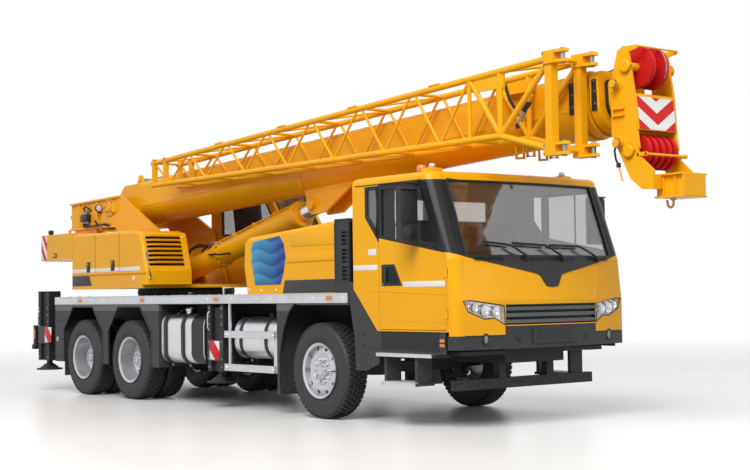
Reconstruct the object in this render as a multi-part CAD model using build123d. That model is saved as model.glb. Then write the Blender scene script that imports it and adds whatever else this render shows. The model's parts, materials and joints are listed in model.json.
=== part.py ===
"""Truck crane with a four-section boom, stowed lattice jib and four outriggers.

Millimetres; +X forward, +Y left, +Z up; the ground is z = 0 and the slewing
axis stands at x = SLEW_X. Every node is written in its place at rest.
"""

import os
from math import cos, hypot, radians, sin

from build123d import *

# Carrier
HALF = 1250.0
FRONT_AXLE_X = 1800.0
REAR_AXLES_X = (-2480.0, -3830.0)
TYRE_R = 530.0
RIM_R = 292.0
TYRE_W = 280.0
LIP = 14.0
TREAD_FLATS = 48
SHOULDER = 40.0
WHEEL_OUT = 1235.0
TWIN_GAP = 40.0
FRAME_HALF = 430.0
FRAME_LOW = 780.0
FRAME_TOP = 1274.0
FRAME_REAR = -5600.0
FRAME_STEP = 2400.0
FRAME_FRONT = 3900.0
NOSE_LOW = 640.0
DECK_TOP = 1385.0
DECK_REAR = -4700.0
DECK_FRONT = 2340.0
RAIL_W = 30.0
KINGPIN_Y = 900.0
KINGPIN_R = 30.0
SPINDLE_R = 45.0
AXLE_END_R = 60.0
DIFF_R = 215.0
RUN = 0.4

# Outriggers: the right beam of each pair runs behind the left one
JACK_X_RIGHT = (-330.0, -5110.0)
BEAM_PITCH = 200.0
BEAM_W = 170.0
BEAM_LOW, BEAM_TOP = 850.0, 1110.0
BEAM_GAP = 6.0
BOX_WALL = 10.0
BOX_HALF = 1030.0
JACK_Y = 1140.0
JACK_LOW, JACK_TOP = 449.0, 1262.0
REAR_JACK_TOP = 1475.0
ROD_R = 44.0
FOOT_R = 190.0
FOOT_Z = 310.0
TOW_R = 26.0

# Driver's cab
CAB_REAR = 2450.0
CAB_FLOOR = 980.0
CAB_LAMP = 1290.0
CAB_BELT = 1700.0
CAB_ROOF = 2600.0
CAB_HEEL = ((2450.0, 1420.0), (2850.0, 980.0))
# Front of the cab in plan: where each side ends, where the corner meets the nose, and the nose on the centre line
FRONT_LOW = ((3965.0, HALF), (4070.0, 1150.0), 4195.0)
FRONT_BELT = ((3950.0, HALF), (4025.0, 1100.0), 4120.0)
FRONT_ROOF = ((3620.0, HALF), (3705.0, 1070.0), 3780.0)
CAB_CORNER = FRONT_LOW[0][0]
ROOF_ROUND = 70.0
CORNER_BULGE = 0.16
WALL = 45.0
NOSE_FOOT = 1030.0
CORNER_FOOT = 940.0
BUMPER_LOW = 800.0
DOOR_REAR, DOOR_FRONT = 2890.0, 3930.0
DOOR_LOW, DOOR_TOP = 1000.0, 2500.0
DOOR_GAP = 6.0
DOOR_T = 38.0
MIRROR = (3520.0, 1275.0, 2415.0)
HINGE_X = DOOR_FRONT + 5.0
HINGE_R = 8.0
HINGES_Z = (1150.0, 1560.0)

# Superstructure
SLEW_X = -3060.0
RING_R = 685.0
RING_TOP = 1485.0
SPIGOT_R = 420.0
TABLE_LOW = 1490.0
TABLE_TOP = 1534.0
PLATE_Y = 430.0
PLATE_T = 40.0
PIVOT_X, PIVOT_Z = -4450.0, 2720.0
HOOD_OUT = 1200.0
HOOD_IN = 500.0
HOOD_TOP = 2280.0
OP_IN, OP_OUT = 520.0, 1205.0

# Boom, in its own frame: along = x from the foot pin, up = z
BOOM_TILT = 2.9
SECTIONS = ((600.0, 620.0), (520.0, 540.0), (440.0, 460.0), (360.0, 380.0))
BOOM_WALL = 14.0
BASE_FRONT = 9310.0
FOOT_PIN_R = 60.0
LUG_HALF = 110.0
LUG_T = 40.0
HEAD_HALF = 300.0
HEAD_T = 30.0
SHEAVE_PIN_R = 40.0
SHEAVE_GROOVE = 18.0

# Lift cylinder pins in the vehicle frame
LIFT_A = (-3100.0, 1700.0)
LIFT_E = (230.0, 2500.0)
BARREL_R = 150.0
LIFT_ROD_R = 100.0
LIFT_PIN_R = 50.0

MID = (Align.CENTER, Align.CENTER, Align.MIN)


def slab(x0, x1, y0, y1, z0, z1):
    middle = Pos((x0 + x1) / 2, (y0 + y1) / 2, (z0 + z1) / 2)
    return middle * Box(x1 - x0, y1 - y0, z1 - z0)


def side_prism(points, y0, y1):
    """Outline in x and z, drawn out across the vehicle."""
    face = make_face(Polyline(*[(x, y0, z) for x, z in points], close=True))
    return extrude(face, amount=y1 - y0, dir=(0, 1, 0))


def plan_prism(points, z0, z1):
    """Outline in x and y, drawn upwards."""
    face = make_face(Polyline(*[(x, y, z0) for x, y in points], close=True))
    return extrude(face, amount=z1 - z0, dir=(0, 0, 1))


def end_prism(points, x0, x1):
    """Outline in y and z, drawn out along the vehicle."""
    face = make_face(Polyline(*[(x0, y, z) for y, z in points], close=True))
    return extrude(face, amount=x1 - x0, dir=(1, 0, 0))


def rod(start, end, radius):
    a, b = Vector(*start), Vector(*end)
    return Plane(origin=a, z_dir=b - a) * Cylinder(radius, (b - a).length, align=MID)


def across(x, z, radius, y0, y1):
    return rod((x, y0, z), (x, y1, z), radius)


def upright(x, y, radius, z0, z1):
    return rod((x, y, z0), (x, y, z1), radius)


def flip(shape):
    return mirror(shape, Plane.XZ)


def both(shape):
    return shape + flip(shape)


def save(name, *shapes):
    solids = [s for shape in shapes for s in shape.solids()]
    whole = solids[0] if len(solids) == 1 else Compound(solids)
    export_step(whole, f"parts/{name}.step")


def boom_place(shape):
    return Pos(PIVOT_X, 0, PIVOT_Z) * Rot(0, -BOOM_TILT, 0) * shape


# Carrier


def beam_x(pair, side):
    """Centre of an outrigger beam: pair 0 amidships, 1 at the tail; side -1 right."""
    return JACK_X_RIGHT[pair] + (BEAM_PITCH if side > 0 else 0.0)


def chassis_frame():
    """Box frame with outrigger boxes and slew ring; the nose under the cab; the boom rest; the tail bar."""
    frame = slab(FRAME_REAR, FRAME_STEP, -FRAME_HALF, FRAME_HALF, FRAME_LOW, FRAME_TOP)
    frame -= slab(FRAME_REAR + 40, FRAME_STEP - 40, -FRAME_HALF + 30, FRAME_HALF - 30,
                  FRAME_LOW + 30, FRAME_TOP - 30)
    half = BEAM_W / 2 + BEAM_GAP
    for pair in (0, 1):
        x0 = beam_x(pair, -1) - half - BOX_WALL
        x1 = beam_x(pair, 1) + half + BOX_WALL
        frame += slab(x0, x1, -BOX_HALF, BOX_HALF, BEAM_LOW - BEAM_GAP - BOX_WALL,
                      BEAM_TOP + BEAM_GAP + BOX_WALL)
        for side in (-1, 1):
            x = beam_x(pair, side)
            frame -= slab(x - half, x + half, -BOX_HALF - 1, BOX_HALF + 1,
                          BEAM_LOW - BEAM_GAP, BEAM_TOP + BEAM_GAP)
            y0, y1 = sorted((side * (BOX_HALF - 100), side * BOX_HALF))
            frame += slab(x - 60, x + 60, y0, y1, BEAM_LOW - BEAM_GAP - 1, BEAM_LOW - RUN)
    frame += upright(SLEW_X, 0, RING_R, FRAME_TOP, RING_TOP)
    frame -= upright(SLEW_X, 0, SPIGOT_R + RUN, FRAME_TOP + 60, RING_TOP + 5)
    for x0, x1 in ((-1500, -1400), (-800, -700), (150, 230), (680, 760)):
        frame += both(slab(x0, x1, FRAME_HALF, 650, 800, 900))
    nose = slab(FRAME_STEP + RUN, FRAME_FRONT, -FRAME_HALF, FRAME_HALF, NOSE_LOW, CAB_FLOOR)
    nose -= slab(FRAME_STEP, FRAME_FRONT - 60, -FRAME_HALF + 40, FRAME_HALF - 40, NOSE_LOW, CAB_FLOOR - 80)
    nose += slab(3700, 3780, -1000, 1000, 380, 486)
    nose += both(slab(3700, 3780, 300, 400, 486, NOSE_LOW))
    rest = slab(FRAME_STEP - 58, FRAME_STEP - 2, -160, 160, FRAME_TOP + RUN, 2690)
    rest += slab(FRAME_STEP - 60, FRAME_STEP + 40, -220, 220, 2690, 2720)
    tail = slab(-5700, FRAME_REAR, -1150, 1150, 600, 670)
    tail += both(slab(FRAME_REAR, FRAME_REAR + 100, 300, 380, 600, FRAME_LOW - RUN))
    tail += both(slab(-5690, -5610, 800, 1130, 665, 960))
    tail += slab(-5800, -5690, -90, 90, 615, 655) - upright(-5750, 0, TOW_R, 600, 700)
    return [frame, nose, rest, tail]


def axles():
    """Front beam, two driven tubes with their differentials, and the spring packs."""
    y_king = KINGPIN_Y - 50
    inner = y_king - 15
    front = slab(FRONT_AXLE_X - 60, FRONT_AXLE_X + 60, -inner, inner, 470, 590)
    for side in (-1, 1):
        y = side * KINGPIN_Y
        y0, y1 = sorted((side * (y_king - 20), side * (KINGPIN_Y + 50)))
        front += slab(FRONT_AXLE_X - 50, FRONT_AXLE_X + 50, y0, y1, 625, 665)
        front += slab(FRONT_AXLE_X - 50, FRONT_AXLE_X + 50, y0, y1, 395, 435)
        y0, y1 = sorted((side * (y_king - 50), side * (y_king - 15)))
        front += slab(FRONT_AXLE_X - 60, FRONT_AXLE_X + 60, y0, y1, 395, 665)
        front -= upright(FRONT_AXLE_X, y, KINGPIN_R + RUN, 300, 700)
    springs = both(slab(FRONT_AXLE_X - 550, FRONT_AXLE_X + 550, 330, 420, 640, 700))
    springs += both(slab(FRONT_AXLE_X - 90, FRONT_AXLE_X + 90, 330, 420, 580, 640))
    for x in (FRONT_AXLE_X - 550, FRONT_AXLE_X + 470):
        springs += both(slab(x, x + 80, 330, 420, 690, FRAME_LOW))
    front += springs
    rear = []
    for x in REAR_AXLES_X:
        tube = across(x, TYRE_R, 95, -600, 600) + across(x, TYRE_R, AXLE_END_R, -1060, 1060)
        casing = rod((x - 150, 0, TYRE_R), (x + 150, 0, TYRE_R), DIFF_R)
        tube += chamfer(casing.edges().filter_by(GeomType.CIRCLE), 70)
        tube += both(slab(x - 110, x + 110, 320, 420, 590, FRAME_LOW))
        rear.append(tube)
    x0, x1 = REAR_AXLES_X
    shaft = rod((x0 + 100, 0, TYRE_R + 30), (250, 0, 700), 55)
    return [front, rear[0] + shaft, rear[1]]


def knuckle(side):
    """Kingpin, stub axle and the steering arm that reaches back under the fork."""
    x, y = FRONT_AXLE_X, KINGPIN_Y
    body = upright(x, y, KINGPIN_R, 350, 665) + slab(x - 40, x + 40, y - 35, y + 45, 450, 610)
    body += across(x, TYRE_R, SPINDLE_R, y, 1190)
    body += slab(x - 260, x + 40, y - 25, y + 20, 350, 388)
    return body if side > 0 else flip(body)


def tyre(width):
    """One tyre about the Y axis, centred, standing on one of its tread flats."""
    upright_face = Plane(origin=(0, width / 2, 0), x_dir=(1, 0, 0), z_dir=(0, 1, 0))
    turn = 180.0 / TREAD_FLATS
    outline = upright_face * RegularPolygon(TYRE_R, TREAD_FLATS, major_radius=False, rotation=turn)
    body = extrude(outline, -width)
    rings = [e for e in body.edges() if abs(abs(e.center().Y) - width / 2) < 1]
    body = chamfer(rings, SHOULDER, SHOULDER * 0.6)
    seat = upright_face * RegularPolygon(RIM_R + RUN, TREAD_FLATS, major_radius=False, rotation=turn)
    return body - extrude(seat, -width)


def turned(points):
    """Radius and y outline turned about the Y axis."""
    face = make_face(Polyline(*[(r, y, 0) for r, y in points], close=True))
    return revolve(face, Axis.Y)


def front_rim():
    w = TYRE_W / 2
    rim = turned([(RIM_R - 14, -w + 20), (RIM_R, -w + 20), (RIM_R, w + RUN), (RIM_R + LIP, w + RUN),
                  (RIM_R + LIP, w + 8), (RIM_R - 14, w - 6)])
    bore = SPINDLE_R + RUN
    dish = turned([(bore, 60), (150, 62), (205, 90), (RIM_R - 10, 60), (RIM_R - 10, 84),
                   (210, 112), (150, 96), (100, 96), (92, 130), (0, 132), (0, 108), (bore, 108)])
    for k in range(10):
        hole = Pos(246 * cos(radians(36 * k)), 0, 246 * sin(radians(36 * k)))
        dish -= hole * Rot(90, 0, 0) * Cylinder(24, 400)
    return rim + dish


def rear_rim():
    """Twin rim: the outer one is a deep dish with the hub standing out of it."""
    span = 2 * TYRE_W + TWIN_GAP
    out = span / 2
    rim = turned([(RIM_R - 14, -out + 12), (RIM_R, -out + 12), (RIM_R, out + RUN),
                  (RIM_R + LIP, out + RUN), (RIM_R + LIP, out + 8), (RIM_R - 14, out - 6)])
    bore = AXLE_END_R + RUN
    disc = turned([(bore, 20), (150, 20), (RIM_R - 10, 60), (RIM_R - 10, 84), (150, 46), (120, 46),
                   (112, 190), (0, 194), (0, 170), (bore, 170)])
    for k in range(8):
        hole = Pos(228 * cos(radians(45 * k)), 0, 228 * sin(radians(45 * k)))
        disc -= hole * Rot(90, 0, 0) * Cylinder(22, 400)
    return rim + disc


def deck():
    mats = slab(DECK_REAR, DECK_FRONT, -HALF + RAIL_W, HALF - RAIL_W, 1355, DECK_TOP)
    mats -= slab(400, 2080, -470, 470, 1300, 1400)
    mats -= slab(2330, 2500, -240, 240, 1300, 1400)
    mats -= upright(SLEW_X, 0, RING_R, 1300, 1400)
    for x in (-4600, -3900, -2200, -1500, -800, 0, 340, 2100):
        mats += slab(x, x + 60, -HALF + RAIL_W, HALF - RAIL_W, FRAME_TOP, 1356)
    rails = [slab(DECK_REAR, DECK_FRONT, -HALF, -HALF + RAIL_W, FRAME_TOP, DECK_TOP)]
    rails.append(flip(rails[0]))
    return mats, rails


def arch(x, top, half_low, half_top, low):
    shoulder = top - 330
    return [(x - half_low, low), (x - half_low, shoulder), (x - half_top, top),
            (x + half_top, top), (x + half_low, shoulder), (x + half_low, low)]


def skirts():
    """Charcoal side panels with an arch over every wheel, lockers and cab steps."""
    y0, y1 = -HALF + 5, -HALF + 25
    rear = slab(DECK_REAR, -1690, y0, y1, 450, FRAME_TOP)
    for x in REAR_AXLES_X:
        rear -= side_prism(arch(x, 1240, 590, 300, 400), y0 - 1, y1 + 1)
    rear += slab(DECK_REAR, -1690, y1, -640, 1254, FRAME_TOP)
    rear += slab(-1710, -1690, y1, -660, 450, FRAME_TOP)
    rear += slab(-4440, -4428, y1, -660, 250, 1262)
    front = slab(1000, 1050, y0, -660, 230, 1180)
    front += side_prism([(1000, 1180), (1000, FRAME_TOP), (1350, FRAME_TOP), (1240, 1180),
                         (1130, 980), (1050, 700), (1050, 400)], y0, y1)
    front += slab(1000, 2330, y1, -660, 1254, FRAME_TOP)
    post = side_prism([(2374, FRAME_TOP), (2374, 1500), (2446, 1500), (2446, 1418), (2846, 976),
                       (2860, 976), (2860, 640), (2640, 560), (2470, 560), (2452, 900)], y0, y1)
    post += slab(2640, 3905, y0, y1, 760, 976)
    step = slab(2800, 3708, y0, -1000, 720, 750) + slab(2900, 3455, y0, -1000, 425, 455)
    for x in (2910, 3400):
        step += slab(x, x + 40, y0 + 30, -1020, 430, 750)
    step += slab(2800, 3905, -1020, -FRAME_HALF, 735, 775)
    right = [rear, front, post + step]
    locker = slab(-1660, -560, 660, 1215, 560, 1140) + slab(130, 900, 660, 1215, 600, 1140)
    locker += slab(-1480, -720, 650, 661, 800, 900) + slab(150, 760, 650, 661, 800, 900)
    side_tank = fillet(slab(-620, -545, -1190, -880, 600, 1010).edges().filter_by(Axis.Z), 30)
    return right + [flip(s) for s in right] + list(locker.solids()) + [side_tank]


def rounded_tank(x0, x1, y0, y1, z0, z1, radius):
    tank = slab(x0, x1, y0, y1, z0, z1)
    return fillet(tank.edges().filter_by(Axis.X), radius)


def tanks():
    fuel = rounded_tank(-1670, -620, -1215, -650, 517, 1142, 150)
    water = rounded_tank(20, 900, -1180, -650, 616, 1114, 190)
    return [fuel, water]


def guard_rails():
    upper = slab(-110, 945, -HALF, -HALF + 30, 864, 948)
    lower = slab(-110, 945, -HALF, -HALF + 30, 468, 551)
    ties = slab(900, 1000, -HALF + 30, -HALF + 50, 468, 948)
    ties += slab(-60, -20, -HALF + 30, -HALF + 50, 468, FRAME_TOP)
    return upper + lower + ties


def cab_plan(front, inset):
    """Plan of the cab at one height: straight sides, rounded corners and a gently bowed nose."""
    (side_x, half), (end_x, end_y), nose = front
    half, end_x, end_y = half - inset, end_x - inset, end_y - inset
    chord = Vector(end_x - side_x, end_y - half)
    bulge = CORNER_BULGE * chord.length
    bend = Vector(side_x, half) + chord * 0.5 + Vector(-chord.Y, chord.X).normalized() * bulge
    rear = CAB_REAR + inset
    lines = [
        Line((rear, half), (rear, -half)),
        Line((rear, -half), (side_x, -half)),
        ThreePointArc((side_x, -half), (bend.X, -bend.Y), (end_x, -end_y)),
        ThreePointArc((end_x, -end_y), (nose - inset, 0), (end_x, end_y)),
        ThreePointArc((end_x, end_y), (bend.X, bend.Y), (side_x, half)),
        Line((side_x, half), (rear, half)),
    ]
    return make_face(lines)


def cab_body(inset, low, high):
    """Upright up to the lamps, leaning back a little to the belt and further to the roof."""
    foot = cab_plan(FRONT_LOW, inset)
    belt = Pos(0, 0, CAB_BELT) * cab_plan(FRONT_BELT, inset)
    body = extrude(Pos(0, 0, low) * foot, CAB_LAMP - low)
    body += loft([Pos(0, 0, CAB_LAMP) * foot, belt], ruled=True)
    body += loft([belt, Pos(0, 0, CAB_ROOF) * cab_plan(FRONT_ROOF, inset)], ruled=True)
    if high < CAB_ROOF:
        body &= slab(0, 5000, -2000, 2000, 0, high)
    (x0, z0), (x1, z1) = CAB_HEEL
    dx, dz = x1 - x0, z1 - z0
    off = Vector(-dz, 0, dx).normalized() * inset
    heel = [(x0 - dx, z0 - dz), (x1 + dx, z1 + dz), (x0 - dx, z1 + dz)]
    return body - side_prism([(x + off.X, z + off.Z) for x, z in heel], -2000, 2000)


def door_outline(gap):
    lean = (FRONT_BELT[0][0] - FRONT_ROOF[0][0]) / (CAB_ROOF - CAB_BELT)
    belt_x = DOOR_FRONT - 40
    front_top = belt_x - lean * (DOOR_TOP - CAB_BELT)
    return [(DOOR_REAR - gap, DOOR_LOW - gap), (DOOR_FRONT + gap, DOOR_LOW - gap),
            (DOOR_FRONT + gap, CAB_BELT), (belt_x + gap, CAB_BELT + 30),
            (front_top + gap, DOOR_TOP + gap), (DOOR_REAR - gap, DOOR_TOP + gap)]


WINDOW = [(2930, 1970), (3800, 1805), (3560, 2460), (2930, 2460)]
QUARTER = [(2690, 2470), (2690, 2190), (2855, 1990), (2855, 2470)]
SCREEN_HALF = 1050.0
SCREEN_TOP = 2505.0


def cab():
    outer = cab_body(0, CAB_FLOOR, CAB_ROOF)
    outer = fillet([e for e in outer.edges() if e.center().Z > CAB_ROOF - 1], ROOF_ROUND)
    shell = outer - cab_body(WALL, CAB_FLOOR + 50, CAB_ROOF - WALL)
    ahead = slab(CAB_CORNER, 5000, -2000, 2000, 0, CAB_BELT)
    nose = shell & slab(CAB_CORNER, 5000, -2000, 2000, NOSE_FOOT, CAB_BELT)
    nose += corner_skirt(CORNER_FOOT, NOSE_FOOT, GRILLE[0] + 12)
    shell -= ahead
    for y0, y1 in ((-1300, -1150), (1150, 1300)):
        shell -= side_prism(door_outline(DOOR_GAP), y0, y1)
    for z in HINGES_Z:
        shell -= both(upright(HINGE_X, HALF, 24, z - 45, z + 45))
        shell += both(upright(HINGE_X, HALF, HINGE_R, z - 70, z + 70))
        for z0 in (z - 75, z + 45):
            shell += both(slab(HINGE_X - 3, HINGE_X + 20, HALF - 20, HALF + 8, z0, z0 + 30))
    screen = slab(3300, 5000, -SCREEN_HALF, SCREEN_HALF, CAB_BELT + 30, SCREEN_TOP)
    back = slab(2300, 2600, -700, 700, 1900, 2400)
    shell -= screen + back
    quarter = side_prism(QUARTER, -2000, 2000)
    shell -= quarter
    pane = cab_body(10, CAB_FLOOR, CAB_ROOF - 8) - cab_body(22, CAB_FLOOR - 5, CAB_ROOF - 20)
    glass = (pane & screen).solids() + (pane & back).solids() + (pane & quarter).solids()
    return shell, nose, glass


def corner_skirt(low, high, inner):
    """Foot of the nose below each lamp, outside the bumper's middle."""
    ring = extrude(Pos(0, 0, low) * (cab_plan(FRONT_LOW, 0) - cab_plan(FRONT_LOW, WALL)), high - low)
    return ring & both(slab(CAB_CORNER, 5000, inner, 2000, low, high))


def bumper():
    ring = cab_plan(FRONT_LOW, 0) - cab_plan(FRONT_LOW, 60)
    made = extrude(Pos(0, 0, BUMPER_LOW) * ring, NOSE_FOOT - RUN - BUMPER_LOW)
    made &= slab(CAB_CORNER - 20, 5000, -2000, 2000, BUMPER_LOW, NOSE_FOOT)
    made -= slab(3000, CAB_CORNER, -2000, 2000, CAB_FLOOR, 1100)
    made -= both(slab(CAB_CORNER - 30, 5000, GRILLE[0] + 10, 2000, CORNER_FOOT - RUN, 1100))
    made += slab(FRAME_FRONT, 4145, -300, 300, 820, CAB_FLOOR)
    return made


LAMP = [(664, 1042), (790, 1112), (915, 1104), (1100, 1180), (1150, 1285), (1080, 1290), (674, 1234)]
GRILLE = (652.0, 1040.0, 1234.0)


def nose_skin(outer, inner):
    return cab_body(outer, CAB_FLOOR, CAB_ROOF) - cab_body(inner, CAB_FLOOR - 5, CAB_ROOF - inner)


def headlamps():
    lens = nose_skin(2, 40) & end_prism(LAMP, CAB_CORNER + 5, 5000)
    return lens


def grille():
    """Two slats across the recess in the nose."""
    half, low, high = GRILLE
    bars = nose_skin(6, 30)
    step = (high - low) / 3
    return [bars & slab(CAB_CORNER, 5000, -half, half, low + step * k + 14, low + step * k + 50)
            for k in range(3)]


def grille_recess():
    half, low, high = GRILLE
    return nose_skin(-5, 30) & slab(CAB_CORNER, 5000, -half, half, low, high)


def cab_interior():
    base = slab(2900, 3300, 350, 850, 1030, 1330) + slab(2880, 3380, 340, 860, 1330, 1450)
    base += side_prism([(2880, 1450), (2990, 1450), (2850, 2150), (2760, 2150)], 360, 840)
    right = Pos(0, -1200, 0) * base
    dash = slab(3600, 3880, -1150, 1150, 1030, 1600)
    column = rod((3620, 600, 1550), (3480, 600, 1680), 35)
    wheel = Plane(origin=(3470, 600, 1690), z_dir=(-140, 0, 130)) * (Cylinder(232, 30) - Cylinder(200, 30))
    spoke = rod((3470, 390, 1690), (3470, 810, 1690), 16)
    return [base, right, dash + column + spoke + wheel]


def door(side):
    panel = side_prism(door_outline(0), HALF - 2 - DOOR_T, HALF - 2)
    window = side_prism(WINDOW, 1000, 1400)
    glass = side_prism(WINDOW, HALF - 28, HALF - 18)
    panel -= window
    for z in HINGES_Z:
        panel += slab(DOOR_FRONT - 20, HINGE_X, HALF - 14, HALF + 6, z - 40, z + 40)
        panel += upright(HINGE_X, HALF, 16, z - 40, z + 40)
        panel -= upright(HINGE_X, HALF, HINGE_R + RUN, z - 80, z + 80)
    x, y, z = MIRROR
    bar_z, post_y = z + 65, y + 110
    arm = rod((x, HALF - 2, bar_z), (x, post_y + 30, bar_z), 15)
    arm += upright(x, post_y, 12, z - 20, bar_z)
    head = slab(x - 50, x + 40, y, y + 240, 1890, z)
    head = fillet(head.edges().filter_by(Axis.Z), 35)
    made = (panel, glass, arm + head)
    return made if side > 0 else tuple(flip(s) for s in made)


def engine_cover():
    outline = [(300, DECK_TOP), (230, 1700), (250, 2000), (340, 2060), (2070, 2180),
               (2070, DECK_TOP)]
    inner = [(340, DECK_TOP), (270, 1700), (288, 1985), (350, 2025), (2070, 2145), (2070, DECK_TOP)]
    cover = side_prism(outline, -1200, 1200)
    soft = [e for e in cover.edges() if e.center().X < 2065 and e.center().Z > DECK_TOP + 5]
    return fillet(soft, 60) - side_prism(inner, -1165, 1165)


def air_intake():
    block = side_prism([(2070, DECK_TOP), (2070, 2190), (2310, 2190), (2330, 2150), (2330, DECK_TOP)],
                       -1210, 1210)
    block -= slab(2080, 2400, -1180, 1180, 1300, 2150)
    for z in (1520, 1710, 1900):
        block -= both(slab(2200, 2300, 1100, 1300, z, z + 150))
    return block


def engine():
    return slab(520, 1950, -400, 400, FRAME_TOP, 1920)


# Superstructure


def turntable():
    floor = upright(SLEW_X, 0, RING_R + 60, TABLE_LOW, TABLE_TOP)
    floor += upright(SLEW_X, 0, SPIGOT_R, RING_TOP - 70, TABLE_LOW + 5)
    floor += slab(-4240, -2200, -HOOD_OUT, OP_OUT, TABLE_LOW, TABLE_TOP)
    floor += slab(-2300, -1200, OP_IN, OP_OUT, TABLE_LOW, TABLE_TOP)
    outline = [(-5710, 2415), (-5710, 2835), (-4140, 2877), (-3057, 2325), (-2650, TABLE_TOP),
               (-4240, TABLE_TOP), (-4240, 2350), (-4300, 2415)]
    plates = side_prism(outline, PLATE_Y, PLATE_Y + PLATE_T)
    plates += across(PIVOT_X, PIVOT_Z, 140, PLATE_Y, PLATE_Y + PLATE_T + 20)
    plates += across(PIVOT_X, PIVOT_Z, FOOT_PIN_R, 250, PLATE_Y)
    floor += both(plates)
    floor += slab(-5710, -5670, -PLATE_Y, PLATE_Y, 2415, 2700)
    for side in (-1, 1):
        y0, y1 = sorted((side * 175, side * 215))
        cheek = side_prism([(-3400, TABLE_TOP), (-3220, 1800), (-2980, 1800), (-2800, TABLE_TOP)],
                           y0, y1)
        floor += cheek - across(LIFT_A[0], LIFT_A[1], LIFT_PIN_R + RUN, y0 - 5, y1 + 5)
    floor += rod((-5710, -300, 2650), (-6015, -300, 2650), 40)
    return floor


def machinery_cover():
    outline = [(-4230, TABLE_TOP), (-4230, 2200), (-4180, HOOD_TOP), (-2440, HOOD_TOP - 10),
               (-2240, 2230), (-2090, 1714), (-2090, TABLE_TOP)]
    inner = [(-4200, TABLE_TOP), (-4200, 2190), (-4165, 2250), (-2450, 2240), (-2265, 2205),
             (-2122, 1714), (-2122, TABLE_TOP)]
    cover = side_prism(outline, -HOOD_OUT, -HOOD_IN)
    soft = [e for e in cover.edges() if e.center().Y < -700 and e.center().Z > TABLE_TOP + 5]
    cover = fillet([e for e in soft if e.center().X > -4170], 45)
    cover -= side_prism(inner, -HOOD_OUT + 30, -HOOD_IN - 30)
    for k in range(7):
        z = 1790 + 60 * k
        cover -= slab(-2400, -1900, -1130, -600, z, z + 24)
    return cover


def counterweight():
    plan = [(-4250, -1200), (-5250, -1200), (-5560, -1000), (-5640, -600), (-5640, 600),
            (-5560, 1000), (-5250, 1200), (-4250, 1200)]
    block = plan_prism(plan, 1930, 2310)
    block += both(slab(-5600, -4900, 350, 470, 2310, 2415))
    return block


def winch():
    drum = across(-5200, 2600, 150, -340, 340)
    for y in (-340, 310):
        drum += across(-5200, 2600, 215, y, y + 30)
    drum += across(-5200, 2600, 60, -PLATE_Y, PLATE_Y)
    return drum


OP_OUTLINE = [(-3200, TABLE_TOP), (-3200, 2840), (-3080, 2960), (-1850, 2960), (-1330, 2250),
              (-1250, TABLE_TOP)]
OP_INNER = [(-3165, TABLE_TOP + 40), (-3165, 2825), (-3065, 2925), (-1870, 2925), (-1368, 2240),
            (-1290, TABLE_TOP + 40)]
OP_DOOR = (-2330.0, -1560.0, 1600.0, 2560.0)


def operator_cab():
    shell = side_prism(OP_OUTLINE, OP_IN, OP_OUT)
    shell -= side_prism(OP_INNER, OP_IN + 35, OP_OUT - 35)
    x0, x1, z0, z1 = OP_DOOR
    doorway = slab(x0 + 30, x1 - 30, OP_OUT - 60, OP_OUT + 60, z0 + 30, z1 - 30)
    front = slab(-1900, -1000, OP_IN + 70, OP_OUT - 70, 1750, 2850)
    roof = slab(-2900, -2050, OP_IN + 90, OP_OUT - 90, 2800, 3100)
    inboard = side_prism([(-2900, 2250), (-2900, 2830), (-1900, 2830), (-1550, 2330), (-1800, 2200)],
                         OP_IN - 30, OP_IN + 60)
    rear_side = slab(-3060, -2420, OP_OUT - 60, OP_OUT + 30, 2150, 2800)
    back = slab(-3300, -3100, OP_IN + 90, OP_OUT - 90, 2150, 2780)
    shell += slab(-3130, x1 + 20, OP_OUT, OP_OUT + 38, z0 - 34, z0 - RUN)
    holes = [front, roof, inboard, rear_side, back]
    shell -= doorway
    for hole in holes:
        shell -= hole
    pane = side_prism([(-3190, TABLE_TOP + 10), (-3190, 2836), (-3076, 2950), (-1855, 2950),
                       (-1340, 2247), (-1260, TABLE_TOP + 10)], OP_IN + 10, OP_OUT - 10)
    pane -= side_prism([(-3180, TABLE_TOP + 20), (-3180, 2832), (-3072, 2940), (-1860, 2940),
                        (-1350, 2244), (-1270, TABLE_TOP + 20)], OP_IN + 20, OP_OUT - 20)
    glass = [s for hole in holes for s in (pane & hole).solids()]
    return shell, glass


def operator_door():
    x0, x1, z0, z1 = OP_DOOR
    frame = slab(x0, x1, OP_OUT + 8, OP_OUT + 38, z0, z1)
    frame -= slab(x0 + 60, x1 - 60, OP_OUT, OP_OUT + 60, z0 + 420, z1 - 60)
    glass = slab(x0 + 60, x1 - 60, OP_OUT + 18, OP_OUT + 28, z0 + 420, z1 - 60)
    return [frame, glass]


def operator_seat():
    seat = slab(-2700, -2250, 650, 1080, TABLE_TOP + 40, 1900)
    seat += slab(-2720, -2200, 630, 1100, 1900, 2010)
    seat += side_prism([(-2720, 2010), (-2620, 2010), (-2740, 2700), (-2830, 2700)], 650, 1080)
    return seat


# Boom


def boom_profile(width, height):
    """Flat top with rounded corners over a round belly."""
    w, h = width / 2, height / 2
    r = 0.12 * width
    k = r * (1 - cos(radians(45)))
    belly = -h + 0.86 * w
    lines = [
        Line((0, -w + r, h), (0, w - r, h)),
        ThreePointArc((0, w - r, h), (0, w - k, h - k), (0, w, h - r)),
        Line((0, w, h - r), (0, w, belly)),
        ThreePointArc((0, w, belly), (0, 0, -h), (0, -w, belly)),
        Line((0, -w, belly), (0, -w, h - r)),
        ThreePointArc((0, -w, h - r), (0, -w + k, h - k), (0, -w + r, h)),
    ]
    return make_face(lines)


def boom_tube(width, height, x0, x1):
    return extrude(Pos(x0, 0, 0) * boom_profile(width, height), amount=x1 - x0, dir=(1, 0, 0))


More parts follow.
